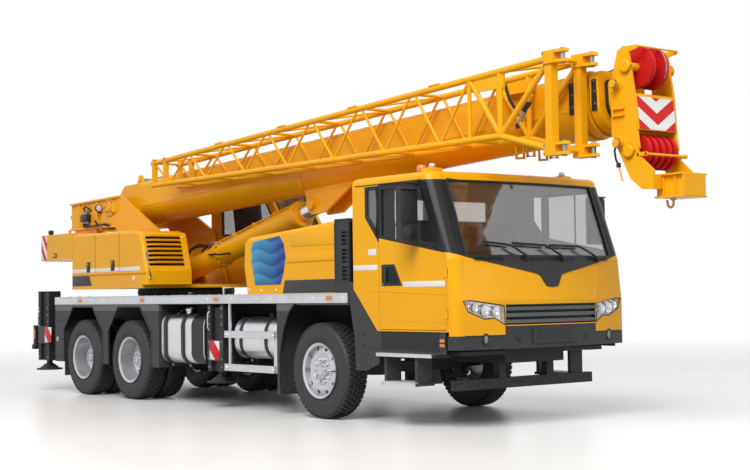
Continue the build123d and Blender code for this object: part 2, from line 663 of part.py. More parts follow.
def section(index, x0, x1, collar):
    """Hollow section with a collar of the given outer size at its mouth."""
    width, height = SECTIONS[index]
    tube = boom_tube(width, height, x0, x1)
    if not collar:
        return tube - boom_tube(width - 2 * BOOM_WALL, height - 2 * BOOM_WALL, x0 - 1, x1 + 1)
    reach, outer = collar
    tube += boom_tube(outer[0], outer[1], x1 - reach, x1)
    tube -= boom_tube(width - 2 * BOOM_WALL, height - 2 * BOOM_WALL, x0 - 1, x1 - reach + 10)
    inner = SECTIONS[index + 1]
    return tube - boom_tube(inner[0] + 2 * RUN, inner[1] + 2 * RUN, x1 - reach, x1 + 1)


def in_boom(x, z):
    """Vehicle point to boom frame."""
    dx, dz = x - PIVOT_X, z - PIVOT_Z
    c, s = cos(radians(BOOM_TILT)), sin(radians(BOOM_TILT))
    return dx * c + dz * s, -dx * s + dz * c


def boom_base():
    base = section(0, 150, BASE_FRONT, (110, (630, 650)))
    base += boom_tube(SECTIONS[0][0], SECTIONS[0][1], 150, 190)
    for side in (-1, 1):
        y0, y1 = sorted((side * 300, side * 250))
        ear = side_prism([(600, 290), (150, 300), (-90, 110), (-120, 0), (-90, -110), (150, -200),
                          (600, -120)], y0, y1)
        ear += across(0, 0, 120, y0, y1)
        base += ear - across(0, 0, FOOT_PIN_R + RUN, y0 - 100, y1 + 100)
    ex, ez = in_boom(*LIFT_E)
    belly = -SECTIONS[0][1] / 2
    for side in (-1, 1):
        y0, y1 = sorted((side * LUG_HALF, side * (LUG_HALF + LUG_T)))
        base += side_prism([(ex - 150, belly + 45), (ex - 110, ez - 60), (ex - 40, ez - 130),
                            (ex + 250, ez - 130), (ex + 900, belly + 45)], y0, y1)
        y0, y1 = sorted((side * 100, side * 200))
        base += across(ex, ez, 70, y0, y1)
    return boom_place(base)


JIB_REAR, JIB_POST, JIB_BEND, JIB_FRONT = -2650.0, 3800.0, 4250.0, 4950.0
UPPER_CHORD = [(JIB_REAR, 3205.0), (JIB_FRONT, 3597.0)]
LOWER_CHORD = [(JIB_REAR, 2905.0), (JIB_BEND, 2915.0), (JIB_FRONT, 2720.0)]
JIB_Y = (-770.0, -365.0)
CHORD_R = 34.0
BRACE_R = 15.0
BAYS = 7


def along(line, x):
    for (x0, z0), (x1, z1) in zip(line, line[1:]):
        if x <= x1:
            return z0 + (z1 - z0) * (x - x0) / (x1 - x0)
    return line[-1][1]


def jib_node(line, x, y):
    return x, y, along(line, x)


def jib_face(y):
    """One side of the lattice: chords, zigzag braces and the heavy front bay."""
    up, low = UPPER_CHORD, LOWER_CHORD
    tubes = []
    for line in (up, low):
        for a, b in zip(line, line[1:]):
            tubes.append(rod((a[0], y, a[1]), (b[0], y, b[1]), CHORD_R))
    tubes.append(Pos(*jib_node(low, JIB_BEND, y)) * Sphere(CHORD_R))
    pitch = (JIB_POST - JIB_REAR) / BAYS
    for k in range(BAYS):
        x0 = JIB_REAR + pitch * k
        foot, peak = jib_node(low, x0 + 0.5 * pitch, y), jib_node(up, x0 + pitch, y)
        tubes.append(rod(foot, peak, BRACE_R))
        tubes.append(rod(jib_node(up, x0 + 60, y), foot, BRACE_R))
    tubes.append(rod(jib_node(up, JIB_POST, y), jib_node(low, JIB_BEND, y), 27))
    tubes.append(rod(jib_node(low, JIB_BEND, y), jib_node(up, JIB_FRONT, y), 30))
    tubes.append(rod(jib_node(low, JIB_BEND, y), jib_node(up, JIB_BEND, y), 30))
    tubes.append(rod(jib_node(low, JIB_POST, y), jib_node(up, JIB_POST, y), 22))
    for x in (JIB_REAR + 30, JIB_REAR + 330):
        tubes.append(slab(x, x + 60, y - 30, y + 30, along(low, x), along(up, x)))
    tubes.append(slab(JIB_FRONT - 45, JIB_FRONT + 45, y - 45, y + 45, 2700, 3620))
    x0, x1 = JIB_POST + 60, JIB_BEND + 60
    tubes.append(side_prism([(x0, along(up, x0)), (x1, along(up, x1)), (x1, along(up, x1) - 170),
                             (x0 + 60, along(up, x0) - 150)], y - 12, y + 12))
    return tubes


def jib_fork(y, z):
    """Corner block with two tines that take the boom head's pin."""
    block = slab(JIB_FRONT - 60, JIB_FRONT + 90, y - 62, y + 62, z - 62, z + 62)
    for z0 in (z - 62, z + 34):
        tine = plan_prism([(JIB_FRONT + 80, y - 60), (JIB_FRONT + 200, y - 40), (JIB_FRONT + 230, y),
                           (JIB_FRONT + 200, y + 40), (JIB_FRONT + 80, y + 60)], z0, z0 + 28)
        block += tine
    return block


def fly_jib():
    tubes = jib_face(JIB_Y[0]) + jib_face(JIB_Y[1])
    pitch = (JIB_POST - JIB_REAR) / BAYS
    for line, shift in ((UPPER_CHORD, 0.0), (LOWER_CHORD, 0.5)):
        for k in range(BAYS):
            x = JIB_REAR + 60 + pitch * (k + shift)
            tubes.append(rod(jib_node(line, x, JIB_Y[0]), jib_node(line, x, JIB_Y[1]), 18))
            if k + 1 < BAYS:
                tubes.append(rod(jib_node(line, x, JIB_Y[0]), jib_node(line, x + pitch, JIB_Y[1]), 13))
        for x in (JIB_POST, JIB_FRONT):
            tubes.append(rod(jib_node(line, x, JIB_Y[0]), jib_node(line, x, JIB_Y[1]), 24))
    tubes.append(rod(jib_node(UPPER_CHORD, JIB_BEND, JIB_Y[0]), jib_node(UPPER_CHORD, JIB_FRONT, JIB_Y[1]), 20))
    for y in JIB_Y:
        tubes.append(jib_fork(y, 3600))
        tubes.append(jib_fork(y, 2720))
    for x in (-1300, 3000):
        z = along(LOWER_CHORD, x)
        tubes.append(slab(x - 60, x + 60, JIB_Y[1], -SECTIONS[0][0] / 2, z - 30, z + 30))
    return tubes[0] + tubes[1:]


def boom_section_2():
    return boom_place(section(1, 640, BASE_FRONT + 130, (105, (610, 630))))


def boom_section_3():
    return boom_place(section(2, 740, BASE_FRONT + 270, (115, (570, 590))))


def boom_section_4():
    end = BASE_FRONT + 450
    tube = section(3, 840, end, None)
    tube += boom_tube(SECTIONS[3][0], SECTIONS[3][1], end - 30, end)
    outline = [(5305, 2807), (5305, 3423), (5370, 3650), (5450, 3690), (5500, 3640), (5570, 3200),
               (5600, 2640), (5775, 2480), (5775, 2309), (5640, 2309), (5500, 2418)]
    plates = None
    for y in (-HEAD_HALF, HEAD_HALF - HEAD_T):
        plate = side_prism(outline, y, y + HEAD_T)
        plates = plate if plates is None else plates + plate
    plates += slab(5280, 5350, -HEAD_HALF, HEAD_HALF, 2830, 3270)
    plates += side_prism([(5545, 3230), (5570, 3200), (5596, 2880), (5570, 2880)], -290, 290)
    plates += slab(5690, 6015, -150, 150, 2236, 2437)
    plates += slab(5690, 5775, -HEAD_HALF, HEAD_HALF, 2309, 2437)
    for x, z in ((5480, 3490), (5500, 2680)):
        plates += across(x, z, SHEAVE_PIN_R, -HEAD_HALF - 20, HEAD_HALF + 20)
    for x, z in ((5370, 3330), (5400, 2760)):
        plates += across(x, z, 38, -HEAD_HALF - 90, -HEAD_HALF + 5)
        plates += across(x, z, 38, HEAD_HALF - 5, HEAD_HALF + 90)
    return boom_place(tube) + plates


def sheaves(x, z, radius, stations, width):
    """Grooved wheels on one sleeve, turning on the head's pin."""
    half = width / 2
    groove = [(0, -half), (radius, -half), (radius - SHEAVE_GROOVE, 0), (radius, half), (0, half)]
    wheel = across(0, 0, 70, min(stations), max(stations))
    for y in stations:
        wheel += Pos(0, y, 0) * turned(groove)
    return Pos(x, 0, z) * (wheel - across(0, 0, SHEAVE_PIN_R + RUN, -400, 400))


def lift_point(distance):
    """Point on the cylinder's axis, measured from its foot pin."""
    dx, dz = LIFT_E[0] - LIFT_A[0], LIFT_E[1] - LIFT_A[1]
    length = hypot(dx, dz)
    return LIFT_A[0] + dx * distance / length, 0, LIFT_A[1] + dz * distance / length


def lift_cylinder():
    length = hypot(LIFT_E[0] - LIFT_A[0], LIFT_E[1] - LIFT_A[1])
    gland = length - 420
    barrel = rod(lift_point(120), lift_point(gland), BARREL_R)
    barrel += rod(lift_point(gland - 90), lift_point(gland), BARREL_R + 22)
    barrel += across(LIFT_A[0], LIFT_A[1], 130, -160, 160)
    barrel += across(LIFT_A[0], LIFT_A[1], LIFT_PIN_R, -250, 250)
    barrel -= rod(lift_point(700), lift_point(gland + 10), LIFT_ROD_R + RUN)
    piston = rod(lift_point(720), lift_point(length - 60), LIFT_ROD_R)
    piston += across(LIFT_E[0], LIFT_E[1], 105, -90, 90)
    return barrel, piston


# Outriggers


def outrigger(pair, side):
    x = beam_x(pair, side)
    top = REAR_JACK_TOP if pair else JACK_TOP
    beam = slab(x - BEAM_W / 2, x + BEAM_W / 2, -950, JACK_Y, BEAM_LOW, BEAM_TOP)
    beam -= slab(x - BEAM_W / 2 + 12, x + BEAM_W / 2 - 12, -960, BOX_HALF - 60, BEAM_LOW + 12,
                 BEAM_TOP - 12)
    beam += slab(x - 66, x + 66, JACK_Y - 90, JACK_Y + 62, JACK_LOW, top - 30)
    for a, b in ((-180, -100), (100, 180)):
        beam += slab(x + a, x + b, JACK_Y - 95, JACK_Y + 95, JACK_LOW, top)
    beam += slab(x - 110, x + 110, JACK_Y - 95, JACK_Y - 60, JACK_LOW, top)
    for z0 in (JACK_LOW + 40, BEAM_TOP + 20):
        beam += slab(x - 110, x + 110, JACK_Y - 70, JACK_Y + 50, z0, z0 + 30)
    beam -= upright(x, JACK_Y, ROD_R + RUN, JACK_LOW - 10, top - 20)
    jack = upright(x, JACK_Y, ROD_R, FOOT_Z + 60, top - 30)
    jack += upright(x, JACK_Y, FOOT_R, FOOT_Z, FOOT_Z + 22)
    cone = Pos(x, JACK_Y, FOOT_Z + 22) * Cone(FOOT_R - 40, 60, 70, align=MID)
    jack += cone
    return (beam, jack) if side > 0 else (flip(beam), flip(jack))


def main():
    os.makedirs("parts", exist_ok=True)
    save("chassis_frame", *chassis_frame())
    save("axles", *axles())
    mats, rails = deck()
    save("deck", mats)
    save("side_rails", *rails, guard_rails())
    save("skirts", *skirts())
    save("tanks", *tanks())
    shell, nose, glass = cab()
    save("cab_shell", shell)
    save("cab_glass", *glass)
    front = bumper()
    lamps = both(headlamps())
    hole = both(end_prism(LAMP, CAB_CORNER + 5, 5000))
    save("cab_nose", nose - hole - grille_recess())
    save("bumper", front, *grille())
    save("headlamps", lamps)
    save("cab_interior", *cab_interior())
    save("engine_cover", engine_cover())
    save("air_intake", air_intake())
    save("engine", engine())
    for name, side in (("left", 1), ("right", -1)):
        save(f"knuckle_{name}", knuckle(side))
        panel, pane, mirror_arm = door(side)
        save(f"door_{name}", panel)
        save(f"door_glass_{name}", pane)
        save(f"mirror_{name}", mirror_arm)
        centre = WHEEL_OUT - TYRE_W / 2
        place = Pos(FRONT_AXLE_X, centre, TYRE_R)
        rubber, metal = place * tyre(TYRE_W), place * front_rim()
        save(f"tyre_front_{name}", rubber if side > 0 else flip(rubber))
        save(f"rim_front_{name}", metal if side > 0 else flip(metal))
        twin = WHEEL_OUT - TYRE_W - TWIN_GAP / 2
        for k, x in enumerate(REAR_AXLES_X, 1):
            place = Pos(x, twin, TYRE_R)
            offset = (TYRE_W + TWIN_GAP) / 2
            rubber = [place * Pos(0, dy, 0) * tyre(TYRE_W) for dy in (-offset, offset)]
            metal = place * rear_rim()
            save(f"tyre_rear{k}_{name}", *(rubber if side > 0 else [flip(r) for r in rubber]))
            save(f"rim_rear{k}_{name}", metal if side > 0 else flip(metal))
        for pair, where in ((0, "mid"), (1, "rear")):
            beam, jack = outrigger(pair, side)
            save(f"beam_{where}_{name}", beam)
            save(f"jack_{where}_{name}", jack)
    save("turntable", turntable())
    save("machinery_cover", machinery_cover())
    save("counterweight", counterweight())
    save("winch", winch())
    shell, glass = operator_cab()
    save("operator_cab", shell)
    save("operator_glass", *glass)
    save("operator_door", *operator_door())
    save("operator_seat", operator_seat())
    save("boom_base", boom_base())
    save("fly_jib", fly_jib())
    save("boom_section_2", boom_section_2())
    save("boom_section_3", boom_section_3())
    save("boom_section_4", boom_section_4())
    save("top_sheaves", sheaves(5480, 3490, 200, (-130, 60), 50))
    save("lower_sheaves", sheaves(5500, 2680, 165, (-190, -95, 0, 95, 190), 46))
    barrel, piston = lift_cylinder()
    save("lift_barrel", barrel)
    save("lift_rod", piston)


main()
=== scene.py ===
# %% [markdown]
# # Dressing a truck crane
# The crane arrives as a fixed frame of solids, one for each real piece, grouped into the bodies that
# move. Everything below adds finish and small pieces to that frame. A reader could start from an
# empty file and model by eye, but then the looks and the mechanism would drift apart, so every place
# here is a real size in metres in the crane's own frame: +X ahead, +Y to its left, +Z up.

# %% Load the frame
import json
from math import asin, cos, exp, pi, radians, sin, sqrt

import bmesh
import bpy
from mathutils import Matrix, Vector


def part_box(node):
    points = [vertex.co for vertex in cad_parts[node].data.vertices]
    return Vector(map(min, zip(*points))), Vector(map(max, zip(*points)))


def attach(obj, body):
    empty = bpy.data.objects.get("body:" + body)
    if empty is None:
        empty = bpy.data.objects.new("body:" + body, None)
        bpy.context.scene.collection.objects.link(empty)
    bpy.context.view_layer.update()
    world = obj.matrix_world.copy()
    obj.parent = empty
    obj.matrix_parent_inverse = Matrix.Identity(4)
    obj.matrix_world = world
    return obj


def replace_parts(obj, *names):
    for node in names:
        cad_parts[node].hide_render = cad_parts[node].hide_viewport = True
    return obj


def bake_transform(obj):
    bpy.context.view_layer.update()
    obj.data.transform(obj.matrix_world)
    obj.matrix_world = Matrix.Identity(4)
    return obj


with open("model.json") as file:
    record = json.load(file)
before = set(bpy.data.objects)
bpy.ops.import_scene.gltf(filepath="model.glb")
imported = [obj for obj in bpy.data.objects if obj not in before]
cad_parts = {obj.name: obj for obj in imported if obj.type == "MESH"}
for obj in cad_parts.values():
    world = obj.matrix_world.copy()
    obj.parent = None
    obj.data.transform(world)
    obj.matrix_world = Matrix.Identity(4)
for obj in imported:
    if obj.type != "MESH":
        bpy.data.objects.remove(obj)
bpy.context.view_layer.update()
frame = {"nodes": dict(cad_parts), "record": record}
nodes = frame["nodes"]

# %% [markdown]
# ## Shader sums as Python sums
# A finish is a small network of nodes. Wiring it by hand hides what it works out, so a socket is
# wrapped in a class whose operators add the Math nodes. `1 - mask` then reads as what it is.


# %% A socket that can be added and multiplied
class Field:
    """One value that changes over a surface; sums on it add Math nodes to the finish."""

    def __init__(self, tree, socket):
        self.tree = tree
        self.socket = socket

    def _sum(self, operation, first, second=0.0):
        node = self.tree.nodes.new("ShaderNodeMath")
        node.operation = operation
        for slot, value in zip(node.inputs, (first, second)):
            plug(self.tree, slot, value)
        return Field(self.tree, node.outputs[0])

    def __add__(self, other):
        return self._sum("ADD", self, other)

    def __radd__(self, other):
        return self._sum("ADD", other, self)

    def __sub__(self, other):
        return self._sum("SUBTRACT", self, other)

    def __rsub__(self, other):
        return self._sum("SUBTRACT", other, self)

    def __mul__(self, other):
        return self._sum("MULTIPLY", self, other)

    def __rmul__(self, other):
        return self._sum("MULTIPLY", other, self)

    def __truediv__(self, other):
        return self._sum("DIVIDE", self, other)

    def __gt__(self, other):
        return self._sum("GREATER_THAN", self, other)

    def __lt__(self, other):
        return self._sum("LESS_THAN", self, other)

    def wave(self):
        return self._sum("SINE", self)

    def part(self):
        return self._sum("FRACT", self)

    def size(self):
        return self._sum("ABSOLUTE", self)


def plug(tree, slot, value):
    """Give a socket a wire, a colour or a plain number."""
    if isinstance(value, Field):
        tree.links.new(value.socket, slot)
    elif hasattr(slot.default_value, "__len__") and len(slot.default_value) == 4 and len(value) == 3:
        slot.default_value = (*value, 1.0)
    else:
        slot.default_value = value


print("field operators ready")

# %% [markdown]
# A finish owns one material and its main shader. Constants go straight onto the shader's sockets;
# what changes over the surface is built from `place`, the point in the crane's frame, so that no
# piece needs unwrapping. Mottling, grime and grain are all read from that one point.


# %% A finish
class Finish:
    """One material with its main shader; names of sockets are written with underscores."""

    def __init__(self, name, colour, roughness=0.5, metallic=0.0, **constants):
        self.material = bpy.data.materials.new(name)
        self.material.use_nodes = True
        self.tree = self.material.node_tree
        self.shader = self.tree.nodes["Principled BSDF"]
        self.set(Base_Color=colour, Roughness=roughness, Metallic=metallic, **constants)
        self.material.diffuse_color = (*colour, 1.0) if isinstance(colour, tuple) else (0.5, 0.5, 0.5, 1)

    def set(self, **sockets):
        for name, value in sockets.items():
            plug(self.tree, self.shader.inputs[name.replace("_", " ")], value)
        return self

    def node(self, kind, settings=None, inputs=None, output=0):
        node = self.tree.nodes.new(kind)
        for name, value in (settings or {}).items():
            if name == "stops":
                ramp = node.color_ramp.elements
                while len(ramp) < len(value):
                    ramp.new(0.5)
                for stop, (position, colour) in zip(ramp, value):
                    stop.position = position
                    stop.color = (*colour, 1.0)
            else:
                setattr(node, name, value)
        for name, value in (inputs or {}).items():
            plug(self.tree, node.inputs[name], value)
        return Field(self.tree, node.outputs[output])

    def place(self):
        """The point in the crane's frame."""
        return self.node("ShaderNodeTexCoord", output="Object")

    def axes(self):
        split = self.tree.nodes.new("ShaderNodeSeparateXYZ")
        plug(self.tree, split.inputs[0], self.place())
        return [Field(self.tree, end) for end in split.outputs]

    def stretched(self, scale):
        return self.node("ShaderNodeMapping", inputs={"Vector": self.place(), "Scale": scale})

    def noise(self, scale, detail=3.0, vector=None):
        return self.node("ShaderNodeTexNoise", inputs={
            "Vector": vector or self.place(), "Scale": scale, "Detail": detail})

    def ramp(self, value, low, high):
        """0 below the low value, 1 above the high one."""
        stops = [(low, (0, 0, 0)), (high, (1, 1, 1))]
        return self.node("ShaderNodeValToRGB", {"stops": stops}, {"Fac": value})

    def mix(self, mask, first, second):
        """Blend two colours; the Mix node keeps those at sockets 6 and 7 and gives the result at 2."""
        return self.node("ShaderNodeMix", {"data_type": "RGBA"}, {
            0: mask, 6: first, 7: second}, output=2)

    def bump(self, height, strength, depth):
        return self.set(Normal=self.node("ShaderNodeBump", inputs={
            "Height": height, "Strength": strength, "Distance": depth}))


print("finish class ready")

# %% [markdown]
# ## Crane enamel
# Most of the crane wears one amber two-pack enamel: sprayed, so its gloss ripples a little, and
# dusted along the lower edges. A flat colour would read as plastic, so the amber drifts slightly
# with a wide noise, road dust thickens towards the ground, and a fine noise gives the spray's ripple.


# %% Painted steel
AMBER = (0.90, 0.424, 0.004)
AMBER_DEEP = (0.80, 0.345, 0.005)
DUST = (0.42, 0.36, 0.28)


def enamel(name, colour, deep, roughness, dust=0.10):
    """Sprayed gloss paint that drifts between two shades, with dust low down."""
    made = Finish(name, colour, roughness, Coat_Weight=0.12, Coat_Roughness=0.06, Specular_IOR_Level=0.13)
    wide = made.ramp(made.noise(1.6, 5), 0.35, 0.75)
    speck = made.ramp(made.noise(38.0, 4), 0.52, 0.80)
    low = made.ramp(made.axes()[2], 0.35, 1.3)
    grime = (1 - low) * speck * dust + speck * 0.03
    made.set(Base_Color=made.mix(grime, made.mix(wide * 0.5, colour, deep), DUST),
             Roughness=roughness + 0.10 * speck + 0.25 * grime)
    return made.bump(made.noise(260.0, 1), 0.03, 0.002)


def amber(name):
    """The crane's own enamel, once for each panel that gets a second coat."""
    return enamel(name, AMBER, AMBER_DEEP, 0.30)


def satin(name, colour, roughness, grain=320.0):
    """Moulded or powder-coated surface: even colour, fine grain, a little dust low down."""
    made = Finish(name, colour, roughness, Specular_IOR_Level=0.28)
    speck = made.ramp(made.noise(24.0, 5), 0.45, 0.85)
    low = made.ramp(made.axes()[2], 0.25, 1.25)
    dusty = (1 - low) * speck * 0.16 + speck * 0.03
    made.set(Base_Color=made.mix(dusty, colour, DUST), Roughness=roughness + 0.18 * speck)
    return made.bump(made.noise(grain, 2), 0.10, 0.001)


PAINT = amber("crane_enamel")
CHARCOAL = satin("charcoal_panel", (0.036, 0.038, 0.042), 0.46)
FRAME_BLACK = satin("frame_black", (0.016, 0.016, 0.018), 0.50)
TRIM_BLACK = satin("trim_black", (0.020, 0.021, 0.023), 0.40, 600.0)
print("painted finishes:", len(bpy.data.materials))

# %% [markdown]
# ## Bare metal
# Rails, tanks and rims are bare or silver-painted metal. Rolling and brushing leave long streaks
# along the piece, so the noise is stretched along X before it changes roughness and shade.


# %% Brushed, cast and polished metal
def brushed(name, colour, roughness, stretch, metallic=1.0):
    """Metal with streaks; stretch scales the noise along each axis."""
    made = Finish(name, colour, roughness, metallic)
    streak = made.noise(6.0, 6, made.stretched(stretch))
    smear = made.ramp(made.noise(5.0, 4), 0.35, 0.8)
    dark = tuple(0.72 * part for part in colour)
    made.set(Base_Color=made.mix(streak * 0.7 * smear, colour, dark),
             Roughness=roughness + 0.16 * streak)
    return made.bump(streak, 0.05, 0.002)


SILVER = brushed("rail_aluminium", (0.62, 0.63, 0.65), 0.36, (0.6, 30.0, 30.0))
STAINLESS = brushed("tank_stainless", (0.66, 0.67, 0.69), 0.22, (0.8, 14.0, 14.0))
WHEEL_METAL = brushed("wheel_silver", (0.56, 0.57, 0.59), 0.34, (9.0, 9.0, 9.0), 0.85)
CAST = brushed("axle_cast", (0.055, 0.055, 0.058), 0.55, (12.0, 12.0, 12.0), 0.4)
ROD_CHROME = brushed("cylinder_rod", (0.78, 0.78, 0.79), 0.12, (4.0, 25.0, 25.0))
PIN_STEEL = brushed("pin_steel", (0.30, 0.29, 0.28), 0.38, (10.0, 10.0, 10.0))
print("metals ready")

# %% [markdown]
# ## Rubber, plastic, glass and cloth
# Tyre rubber is nearly black with a dusty bloom. Cab glass is tinted: a thin pane that lets some
# light through is best made with alpha, since real refraction through a 10 mm solid only darkens it.


# %% Rubber, glass, lamps and seat cloth
def tyre_rubber():
    made = Finish("tyre_rubber", (0.022, 0.022, 0.023), 0.62)
    bloom = made.ramp(made.noise(9.0, 6), 0.40, 0.85)
    made.set(Base_Color=made.mix(bloom * 0.30, (0.019, 0.019, 0.020), (0.085, 0.080, 0.074)),
             Roughness=0.56 + 0.22 * bloom)
    return made.bump(made.noise(180.0, 3), 0.18, 0.002)


def pane(name, colour, alpha):
    """Thin tinted glass under a film of dust."""
    made = Finish(name, colour, 0.03, IOR=1.5)
    film = made.ramp(made.noise(3.0, 5), 0.45, 0.9)
    return made.set(Roughness=0.02 + 0.05 * film, Alpha=alpha + 0.05 * film)


def lens(name, colour, ribs):
    """Moulded lens: close ribs in the bump and a bright, clear body."""
    made = Finish(name, colour, 0.08, Coat_Weight=0.6)
    x, y, _ = made.axes()
    wave = ((y + x) * ribs).wave()
    deep = tuple(0.55 * part for part in colour)
    made.set(Base_Color=made.mix(0.5 + 0.5 * wave, colour, deep))
    return made.bump(wave, 0.35, 0.003)


def seat_cloth():
    made = Finish("seat_cloth", (0.035, 0.036, 0.040), 0.9, Sheen_Weight=0.3)
    x, y, z = made.axes()
    weave = ((x + y) * 1500.0).wave() * ((z + y) * 1500.0).wave()
    made.set(Base_Color=made.mix(0.5 + 0.5 * weave, (0.030, 0.031, 0.034), (0.060, 0.061, 0.066)))
    return made.bump(weave, 0.4, 0.001)


RUBBER = tyre_rubber()
GLASS = pane("tinted_glass", (0.030, 0.034, 0.036), 0.28)
CLEAR = pane("lamp_cover", (0.80, 0.82, 0.84), 0.28)
PLASTIC = satin("dark_plastic", (0.026, 0.027, 0.029), 0.44, 500.0)
AMBER_LENS = lens("amber_lens", (0.90, 0.24, 0.02), 420.0)
RED_LENS = lens("red_lens", (0.62, 0.012, 0.012), 420.0)
WHITE_LENS = lens("white_lens", (0.82, 0.83, 0.85), 300.0)
SHEAVE_RED = enamel("sheave_red", (0.56, 0.012, 0.012), (0.44, 0.008, 0.010), 0.34)
CLOTH = seat_cloth()
HOSE = satin("hose_rubber", (0.014, 0.014, 0.015), 0.52, 900.0)
print("soft and clear finishes ready")

# %% [markdown]
# ## Deck plate
# The walkway is chequer plate. Its raised bars are too many and too low to model, so two sets of
# short bars at right angles are made in the bump from the point's X and Y.


# %% Chequer plate
def chequer_plate():
    made = Finish("deck_chequer", (0.16, 0.16, 0.17), 0.45, 0.7)
    x, y, _ = made.axes()
    one = ((x + y) * 22.0).part() - 0.5
    two = ((x - y) * 22.0).part() - 0.5
    bars = (one.size() < 0.16) * (two.size() < 0.36) + (two.size() < 0.16) * (one.size() < 0.36)
    wear = made.ramp(made.noise(4.0, 5), 0.35, 0.8)
    made.set(Base_Color=made.mix(bars * wear, (0.13, 0.13, 0.14), (0.34, 0.34, 0.35)),
             Roughness=0.5 - 0.15 * bars)
    return made.bump(bars, 0.5, 0.004)


DECK = chequer_plate()
print("materials so far:", len(bpy.data.materials))

# %% [markdown]
# ## Finishes onto the frame
# Every solid of the frame takes the finish of the record's slot it belongs to. The slots are already on the
# frame, so a table of slot to finish is enough, with a few solids named one by one.

# %% Hand out the finishes
BY_SLOT = {
    "paint": PAINT, "charcoal": CHARCOAL, "frame": FRAME_BLACK, "silver": SILVER,
    "wheel_metal": WHEEL_METAL, "rubber": RUBBER, "glass": GLASS, "dark_plastic": PLASTIC,
    "lamp": CLEAR, "cushion": CLOTH, "cast": CAST, "sheave": SHEAVE_RED, "rod": ROD_CHROME,
    "deck_plate": DECK,
}
for entry in frame["record"]["subparts"]:
    mesh = nodes[entry["node"]].data
    mesh.materials.clear()
    mesh.materials.append(BY_SLOT[entry["material_slot"]].material)
print("finished solids:", sum(len(o.data.materials) for o in nodes.values()))

# %% [markdown]
# ## Camera, floor and light
# The camera stands low at the crane's front right corner. Its place and turn were solved from the
# legal width, the axle spacing and the level deck rail. The floor is a pale disc whose alpha fades
# out, so it keeps the soft shadow under the crane and has no horizon. The world looks white to the
# camera and to reflections, and lights the crane at a plain level.

# %% Camera
EYE = Vector((14.122, -10.333, 1.375))
HEADING = radians(141.19)
PITCH = radians(2.41)
ROLL = radians(-0.8306)
LENS_MM = 66.41
SENSOR_MM = 36.0

ahead = Vector((cos(PITCH) * cos(HEADING), cos(PITCH) * sin(HEADING), sin(PITCH)))
level = Vector((sin(HEADING), -cos(HEADING), 0.0))
over = level.cross(ahead)
right = level * cos(ROLL) + over * sin(ROLL)
top = over * cos(ROLL) - level * sin(ROLL)
camera = bpy.data.objects.new("camera", bpy.data.cameras.new("camera"))
camera.data.lens = LENS_MM
camera.data.sensor_width = SENSOR_MM
camera.data.sensor_fit = "HORIZONTAL"
camera.data.clip_end = 200.0
camera.matrix_world = Matrix.Translation(EYE) @ Matrix((right, top, -ahead)).transposed().to_4x4()
bpy.context.scene.collection.objects.link(camera)
bpy.context.scene.camera = camera
print("camera at", tuple(round(c, 2) for c in EYE))

# %% Floor
FLOOR_R = 40.0
FADE_START, FADE_END = 9.0, 22.0
FLOOR_SEEN, FLOOR_BOUNCED = (0.96, 0.96, 0.955), (0.34, 0.34, 0.35)


def studio_floor():
    """Pale to the camera, darker to light that bounces off it, so the crane's belly stays in shade."""
    made = Finish("studio_floor", FLOOR_SEEN, 0.32, Specular_IOR_Level=0.35)
    reach = made.node("ShaderNodeVectorMath", {"operation": "LENGTH"}, {0: made.place()}, output="Value")
    fade = made.ramp(reach / FADE_END, FADE_START / FADE_END, 1.0)
    bounced = made.node("ShaderNodeLightPath", output="Is Diffuse Ray")
    return made.set(Base_Color=made.mix(bounced, FLOOR_SEEN, FLOOR_BOUNCED),
                    Roughness=0.26 + 0.12 * made.noise(0.7, 3), Alpha=1 - fade)


disc = bmesh.new()
bmesh.ops.create_circle(disc, cap_ends=True, segments=96, radius=FLOOR_R)
floor_mesh = bpy.data.meshes.new("floor")
disc.to_mesh(floor_mesh)
disc.free()
floor_mesh.materials.append(studio_floor().material)
floor = bpy.data.objects.new("floor", floor_mesh)
floor.location.z = -0.001
bpy.context.scene.collection.objects.link(floor)
print("floor radius", FLOOR_R)

# %% World and lamps
WORLD_LEVEL = 0.45
bpy.context.scene.view_settings.view_transform = "Standard"

world = bpy.data.worlds.new("studio")
world.use_nodes = True
bpy.context.scene.world = world
sky = world.node_tree
for old in list(sky.nodes):
    sky.nodes.remove(old)
path = sky.nodes.new("ShaderNodeLightPath")
shown = Field(sky, path.outputs["Is Camera Ray"]) + Field(sky, path.outputs["Is Transmission Ray"])
shown = shown + Field(sky, path.outputs["Is Glossy Ray"]) * 0.75
back = sky.nodes.new("ShaderNodeBackground")
back.inputs["Color"].default_value = (1.0, 1.0, 1.0, 1.0)
plug(sky, back.inputs["Strength"], WORLD_LEVEL + (1 - WORLD_LEVEL) * (shown > 0.5))
sky.links.new(back.outputs[0], sky.nodes.new("ShaderNodeOutputWorld").inputs[0])


def soft_lamp(name, place, aim, size, watts):
    """Square lamp turned towards a point."""
    lamp = bpy.data.lights.new(name, "AREA")
    lamp.size = size
    lamp.energy = watts
    holder = bpy.data.objects.new(name, lamp)
    holder.location = place
    holder.rotation_euler = (Vector(aim) - Vector(place)).to_track_quat("-Z", "Y").to_euler()
    bpy.context.scene.collection.objects.link(holder)


soft_lamp("key", (13.0, -16.0, 19.0), (0.0, 0.0, 1.5), 15.0, 6300.0)
soft_lamp("front", (15.0, 3.0, 7.0), (2.5, 0.0, 1.6), 7.0, 220.0)
print("lamps:", len(bpy.data.lights))

# %% [markdown]
# ## A bench to build pieces on
# Small parts are gathered into one mesh for each piece, so a few hundred bolts stay one object. Every
# form is made in a scratch mesh first, softened at its edges, given its finish and then joined in.
# A modifier stack for each bolt would do the same at a far greater cost. The crane is nearly the same
# on both sides, so a piece is written once, for the left, and the bench turns it over for the right.


